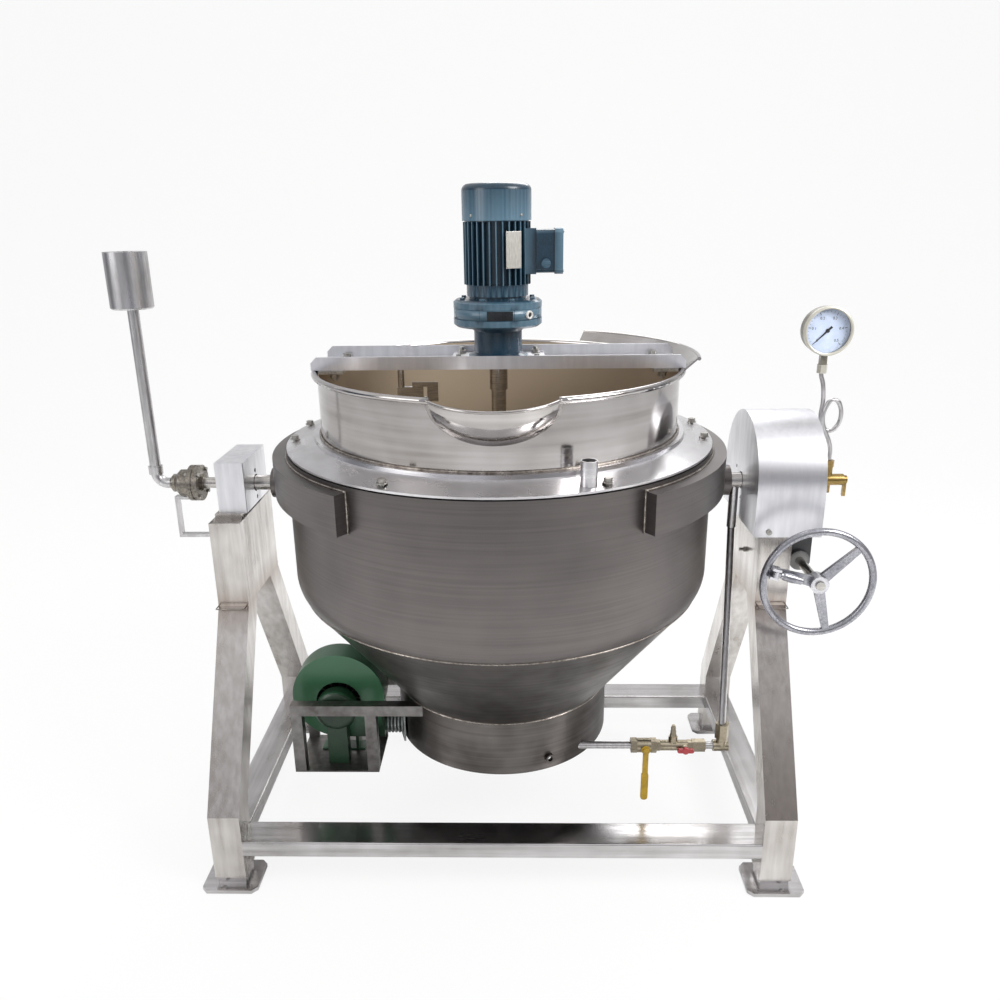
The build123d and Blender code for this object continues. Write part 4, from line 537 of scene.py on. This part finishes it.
# White nylon: smooth and slightly waxy.
nylon = steel(
    "white_nylon_scraper", "E6E3DA", "CFCBC0", (120, 120, 120), 25, (0.4, 0.55), 0.05, metallic=0.0
)
dress(guard_steel, "stirrer_beam", bevel=1.5)
dress(plated_steel, "beam_bolts", bevel=0.5)
dress(turned_steel, "probe_rod", "stirrer_shaft", bevel=0.5)
dress(deck_steel, "stirrer_frame", bevel=1.0)
dress(nylon, "scrapers", bevel=1.0)

# ---------------------------------------------------------------- Motor and reducer
# A finned motor with a pressed fan cover and a terminal box stands on a reducer, all in one enamel. The
# reducer's housing is a closed drum between two flanges, with a bare plate and a sight glass on it. The
# motor has a bare plate across its fins, and screws hold its fan cover and terminal lid.

# Blue-green enamel on castings: a soft gloss over a fine sand texture, paler where the edges have worn.
motor_paint = steel(
    "blue_green_enamel_casting", "1E4155", "132B3A", (350, 350, 350), 14, (0.24, 0.4), 0.12,
    metallic=0.0, coat=0.35, worn="5F7E90", spread=0.5,
)
# Etched plate: dark grey metal with fine level lines.
dark_plate = steel(
    "etched_dark_plate", "4A4D50", "2E3033", (200, 200, 900), 30, (0.3, 0.42), 0.02,
    metallic=0.8, spread=0.5,
)
# Bare aluminium: pale and softly brushed.
pale_plate = steel(
    "bare_aluminium_plate", "D8D6D0", "B3B0A8", (400, 60, 60), 25, (0.32, 0.5), 0.02,
    metallic=0.85, spread=0.5,
)
# White and black enamel: plain gloss for the sight glass.
white_enamel = steel(
    "white_sight_ring", "F0F0EC", "D9D8D2", (200, 200, 200), 25, (0.3, 0.45), 0.02,
    metallic=0.0, spread=0.4,
)
black_enamel = steel(
    "black_pointer_enamel", "1C1C1E", "101012", (60, 60, 60), 20, (0.4, 0.5), 0.0,
    metallic=0.0, spread=0.5,
)
dress(motor_paint, "reducer", "motor_body", "fan_cover", "terminal_box", bevel=1.2)
dress(rough_iron, "motor_rotor", bevel=0)


def lathe(name, profile, origin, axis, material, body, steps=64):
    """A turned piece; profile is a list of radius and distance along axis from origin."""
    axis_turn = Vector((0, 0, 1)).rotation_difference(Vector(axis).normalized())
    vertices, faces = [], []
    for radius, along in profile:
        for k in range(steps):
            turn = 2 * math.pi * k / steps
            local = Vector((radius * math.cos(turn), radius * math.sin(turn), along))
            vertices.append(Vector(origin) + axis_turn @ local)
    for i in range(len(profile) - 1):
        for k in range(steps):
            m = (k + 1) % steps
            faces.append((i * steps + k, i * steps + m, (i + 1) * steps + m, (i + 1) * steps + k))
    return mesh_piece(name, vertices, faces, material, body)


def plate(name, centre, facing, size, material, body, bow=0.0):
    """A bare plate with rounded edges; size is its width and height, facing the way it looks, and bow the
    radius of the drum that it is bent round."""
    thickness, corner = 0.0012, 0.002
    out = Vector(facing).normalized()
    side = Vector((0, 0, 1)).cross(out).normalized()
    up = out.cross(side)
    mesh = bmesh.new()
    columns = 12 if bow else 1
    rows = []
    for depth in (0, thickness):
        for height in (-size[1] / 2, size[1] / 2):
            row = []
            for i in range(columns + 1):
                across = (i / columns - 0.5) * size[0]
                back = bow * (1 - math.cos(across / bow)) if bow else 0
                spot = Vector(centre) + side * across + up * height + out * (depth - back)
                row.append(mesh.verts.new(spot))
            rows.append(row)
    for i in range(columns):
        for a, b in ((0, 1), (1, 3), (3, 2), (2, 0)):
            mesh.faces.new((rows[a][i], rows[a][i + 1], rows[b][i + 1], rows[b][i]))
    for i in (0, columns):
        mesh.faces.new((rows[0][i], rows[1][i], rows[3][i], rows[2][i]))
    bmesh.ops.recalc_face_normals(mesh, faces=mesh.faces)
    data = bpy.data.meshes.new(name)
    mesh.to_mesh(data)
    mesh.free()
    data.materials.append(material)
    piece = bpy.data.objects.new(name, data)
    bpy.context.scene.collection.objects.link(piece)
    rounding = piece.modifiers.new("edge", "BEVEL")
    rounding.width, rounding.segments, rounding.limit_method = corner / 3, 2, "ANGLE"
    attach(piece, body)
    return piece


drum_radius, drum_middle, drum_half, drum_chamfer = 0.1092, 1.422, 0.0135, 0.001
drum = lathe(
    "reducer_drum",
    [
        (0.104, -drum_half),
        (drum_radius, drum_chamfer - drum_half),
        (drum_radius, drum_half - drum_chamfer),
        (0.104, drum_half),
    ],
    (0, 0, drum_middle), (0, 0, 1), motor_paint, "kettle", 96,
)
reducer_plate = plate(
    "reducer_plate", (0.008, -drum_radius, drum_middle), (0.074, -1, 0), (0.062, 0.022), dark_plate,
    "kettle", bow=drum_radius,
)

sight_turn = math.radians(-46)
sight_out = Vector((math.cos(sight_turn), math.sin(sight_turn), 0))
sight_centre = sight_out * drum_radius + Vector((0, 0, drum_middle))
sight_ring = lathe(
    "sight_ring",
    [(0.0095, -0.002), (0.0105, 0.004), (0.0095, 0.006), (0.006, 0.006), (0.0055, 0.003)],
    sight_centre, sight_out, white_enamel, "kettle", 32,
)
sight_window = lathe(
    "sight_window", [(0.0, 0.0045), (0.004, 0.0042), (0.0058, 0.003)],
    sight_centre, sight_out, black_enamel, "kettle", 32,
)

screw_head = [(0.0, 0.0022), (0.0022, 0.0022), (0.0034, 0.0014), (0.0038, 0.0), (0.0038, -0.001)]
rivet_head = [(0.0, 0.0009), (0.0009, 0.0007), (0.0014, 0.0), (0.0014, -0.0005)]
corner_signs = ((-1, -1), (1, -1), (-1, 1), (1, 1))
motor_plate_centre = Vector((0.041, -0.0815, 1.572))
plate_out, plate_side = Vector((0.45, -0.89, 0)), Vector((0.89, 0.45, 0)).normalized()
motor_plate = plate(
    "motor_plate", motor_plate_centre, plate_out, (0.040, 0.084), pale_plate, "kettle"
)
plate_out = plate_out.normalized()
for i, (across, up) in enumerate(corner_signs):
    offset = plate_side * 0.0165 * across + Vector((0, 0, 0.0385 * up)) + plate_out * 0.0012
    rivet = lathe(
        f"motor_plate_rivet_{i}", rivet_head, motor_plate_centre + offset, plate_out, plated_steel,
        "kettle", 16,
    )

cover_radius, cover_screw_height = 0.0840, 1.650
for i in range(4):
    turn = math.radians(45 + 90 * i)
    out = Vector((math.cos(turn), math.sin(turn), 0))
    screw = lathe(
        f"fan_cover_screw_{i}", screw_head, out * cover_radius + Vector((0, 0, cover_screw_height)),
        out, plated_steel, "kettle", 20,
    )

box_low, box_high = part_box("terminal_box")
box_middle = (box_low[2] + box_high[2]) / 2
for i, (y, z) in enumerate(corner_signs):
    spot = (box_high[0], 0.039 * y, box_middle + 0.045 * z)
    screw = lathe(f"lid_screw_{i}", screw_head, spot, (1, 0, 0), plated_steel, "kettle", 20)

# ---------------------------------------------------------------- Blower
# A pressed steel fan scroll with its motor stands in an open bracket of square tube that hangs from the
# housing, and blows through a short ribbed hose.

# Green enamel on pressed sheet: an even half gloss.
blower_paint = steel(
    "green_enamel_sheet", "133A20", "0B2414", (260, 260, 260), 10, (0.28, 0.44), 0.1,
    metallic=0.0, coat=0.15, worn="3F7050", spread=0.5,
)
# Satin stainless tube: greyer and duller than the legs, and darker, partly with painted shade for the
# shadow under the housing.
bracket_steel_with_painted_shade = steel(
    "satin_stainless_bracket_painted_shade", "8E8C8A", "625F5D", (60, 60, 60), 8, (0.3, 0.45), 0.02, spread=0.4
)
# Wound aluminium strip: soft grey, with finely scuffed ribs.
hose_metal = steel(
    "ribbed_aluminium_hose", "A7ABA9", "6F7674", (40, 200, 200), 20, (0.3, 0.45), 0.05, spread=0.5
)
dress(blower_paint, "blower_scroll", "blower_motor", bevel=1.5)
dress(rough_iron, "blower_impeller", bevel=0)
# The bracket's darker grey is partly painted shade.
dress(bracket_steel_with_painted_shade, "blower_bracket", bevel=0.8)
dress(hose_metal, "air_hose", bevel=0.5)

# ---------------------------------------------------------------- Gas line
# A stainless pipe comes down from the hollow trunnion to a ball valve and a tee cock, screwed together
# from nickelled brass fittings, and runs into the burner housing.

# Satin stainless tube: a soft long highlight along the bar.
tube_steel = steel(
    "satin_stainless_tube", "DAD9DA", "A5A3A2", (150, 150, 12), 9, (0.24, 0.38), 0.02, spread=0.5
)
# Nickelled brass: silvery, with the yellow showing through.
plated_brass = steel(
    "nickelled_brass_valve", "BDB39F", "857B68", (300, 300, 300), 22, (0.24, 0.42), 0.08, spread=0.5
)
# Dipped vinyl sleeve: a matt yellow grip.
yellow_sleeve = steel(
    "yellow_vinyl_sleeve", "C9A433", "A08226", (150, 150, 150), 25, (0.35, 0.5), 0.05,
    metallic=0.0, spread=0.4,
)
# Red enamel: a glossy cast handle.
red_enamel = steel(
    "red_enamel_handle", "C23A3F", "8E2429", (200, 200, 200), 30, (0.25, 0.4), 0.05,
    metallic=0.0, coat=0.3, spread=0.4,
)
dress(tube_steel, "gas_pipe", bevel=0.8)
dress(plated_brass, "gas_valves", bevel=0.8)
dress(yellow_sleeve, "ball_lever", bevel=1.0)
dress(red_enamel, "tee_handle", bevel=1.0)

# ---------------------------------------------------------------- Rotary joint and expansion tank
# A flanged joint on the left trunnion lets the kettle turn while its pipe stands still. A welded stay
# holds it, and the pipe rises from it to a small open tank.

# Tarnished nickel: grey and blotched.
nickel_brass = steel(
    "tarnished_nickelled_joint", "A09A90", "5E5953", (200, 200, 200), 25, (0.26, 0.44), 0.05, spread=0.5
)
dress(nickel_brass, "rotary_joint", bevel=0.8)
dress(tube_steel, "joint_stay", "expansion_tank", bevel=0.8)

# ---------------------------------------------------------------- Pressure gauge
# A brass cock on the right trunnion carries a coiled siphon tube and a round gauge with a pale dial behind
# glass. Its tick marks and plain numbers are printed round three quarters of the dial.

# Cast brass: dull yellow with a fine sand skin.
cast_brass = steel(
    "cast_brass_fitting", "B69C66", "7D673A", (300, 300, 300), 25, (0.24, 0.42), 0.08, spread=0.5
)
# Olive-grey enamel on pressed steel: a soft sheen, rubbed paler at the rim.
bezel_paint = steel(
    "olive_grey_enamel_case", "8B887C", "6B685E", (200, 200, 200), 25, (0.3, 0.45), 0.04,
    metallic=0.3, coat=0.2, worn="C9C6BA", spread=0.4,
)
# Dial enamel: matt, pale blue and almost even.
dial_enamel = steel(
    "pale_blue_dial_enamel", "D6E2F6", "C6D4EC", (60, 60, 60), 20, (0.5, 0.6), 0.0,
    metallic=0.0, spread=0.5,
)
dress(cast_brass, "gauge_cock", "cock_lever", bevel=0.8)
dress(tube_steel, "siphon_tube", bevel=0.8)
dress(bezel_paint, "gauge_case", bevel=0.6)
dress(dial_enamel, "gauge_dial", bevel=0)
dress(black_enamel, "gauge_pointer", bevel=0)

# Clear glass: it mirrors a little of the room and lets the light through to the dial.
lens_glass, lens_out = blank_material("clear_gauge_glass")
lens_shader = add_node(
    lens_glass,
    "ShaderNodeBsdfPrincipled",
    {"Base Color": linear("FFFFFF"), "Roughness": 0.02, "IOR": 1.5, "Transmission Weight": 1.0},
)
lens_shadow = add_node(lens_glass, "ShaderNodeLightPath").outputs["Is Shadow Ray"]
lens_clear = add_node(lens_glass, "ShaderNodeBsdfTransparent")
lens_mix = add_node(
    lens_glass,
    "ShaderNodeMixShader",
    {0: lens_shadow, 1: lens_shader.outputs[0], 2: lens_clear.outputs[0]},
)
lens_glass.node_tree.links.new(lens_mix.outputs[0], lens_out.inputs[0])
dress(lens_glass, "gauge_lens", bevel=0)

# Printing ink: black, and very slightly uneven.
print_ink, ink_out = blank_material("black_dial_print")
ink_wear = add_node(print_ink, "ShaderNodeTexNoise", {"Scale": 900.0})
ink_tone = add_node(print_ink, "ShaderNodeMapRange", {0: ink_wear.outputs[0], 3: 0.012, 4: 0.035})
ink_shader = add_node(
    print_ink, "ShaderNodeBsdfPrincipled", {"Base Color": ink_tone.outputs[0], "Roughness": 0.6}
)
print_ink.node_tree.links.new(ink_shader.outputs[0], ink_out.inputs[0])

dial_low, dial_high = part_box("gauge_dial")
print_proud = 0.0003
dial_centre = Vector(
    ((dial_low[0] + dial_high[0]) / 2, dial_low[1] - print_proud, (dial_low[2] + dial_high[2]) / 2)
)
divisions, marks_between, dial_start, dial_sweep = 5, 5, 225, 270
tick_outer, long_inner, short_inner, long_half, short_half = 0.049, 0.042, 0.0455, 0.0006, 0.0003
tick_vertices, tick_faces = [], []
for i in range(divisions * marks_between + 1):
    turn = math.radians(dial_start - dial_sweep * i / (divisions * marks_between))
    inner, half = (short_inner, short_half) if i % marks_between else (long_inner, long_half)
    out = Vector((math.cos(turn), 0, math.sin(turn)))
    across = Vector((-math.sin(turn), 0, math.cos(turn)))
    first = len(tick_vertices)
    for radius, width in ((tick_outer, -half), (tick_outer, half), (inner, half), (inner, -half)):
        tick_vertices.append(dial_centre + out * radius + across * width)
    tick_faces.append((first, first + 1, first + 2, first + 3))
ticks = mesh_piece("dial_ticks", tick_vertices, tick_faces, print_ink, "kettle", False)

number_size, number_radius = 0.0095, 0.034
for i, label in enumerate(("0", "0.1", "0.2", "0.3", "0.4", "0.5")):
    turn = math.radians(dial_start - dial_sweep * i / divisions)
    text = bpy.data.curves.new(f"dial_number_{i}", "FONT")
    text.body, text.size, text.align_x, text.align_y = label, number_size, "CENTER", "CENTER"
    text.materials.append(print_ink)
    number = bpy.data.objects.new(f"dial_number_{i}", text)
    number.location = dial_centre + Vector((math.cos(turn), 0, math.sin(turn))) * number_radius
    number.rotation_euler = (math.pi / 2, 0, 0)
    bpy.context.scene.collection.objects.link(number)
    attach(number, "kettle")
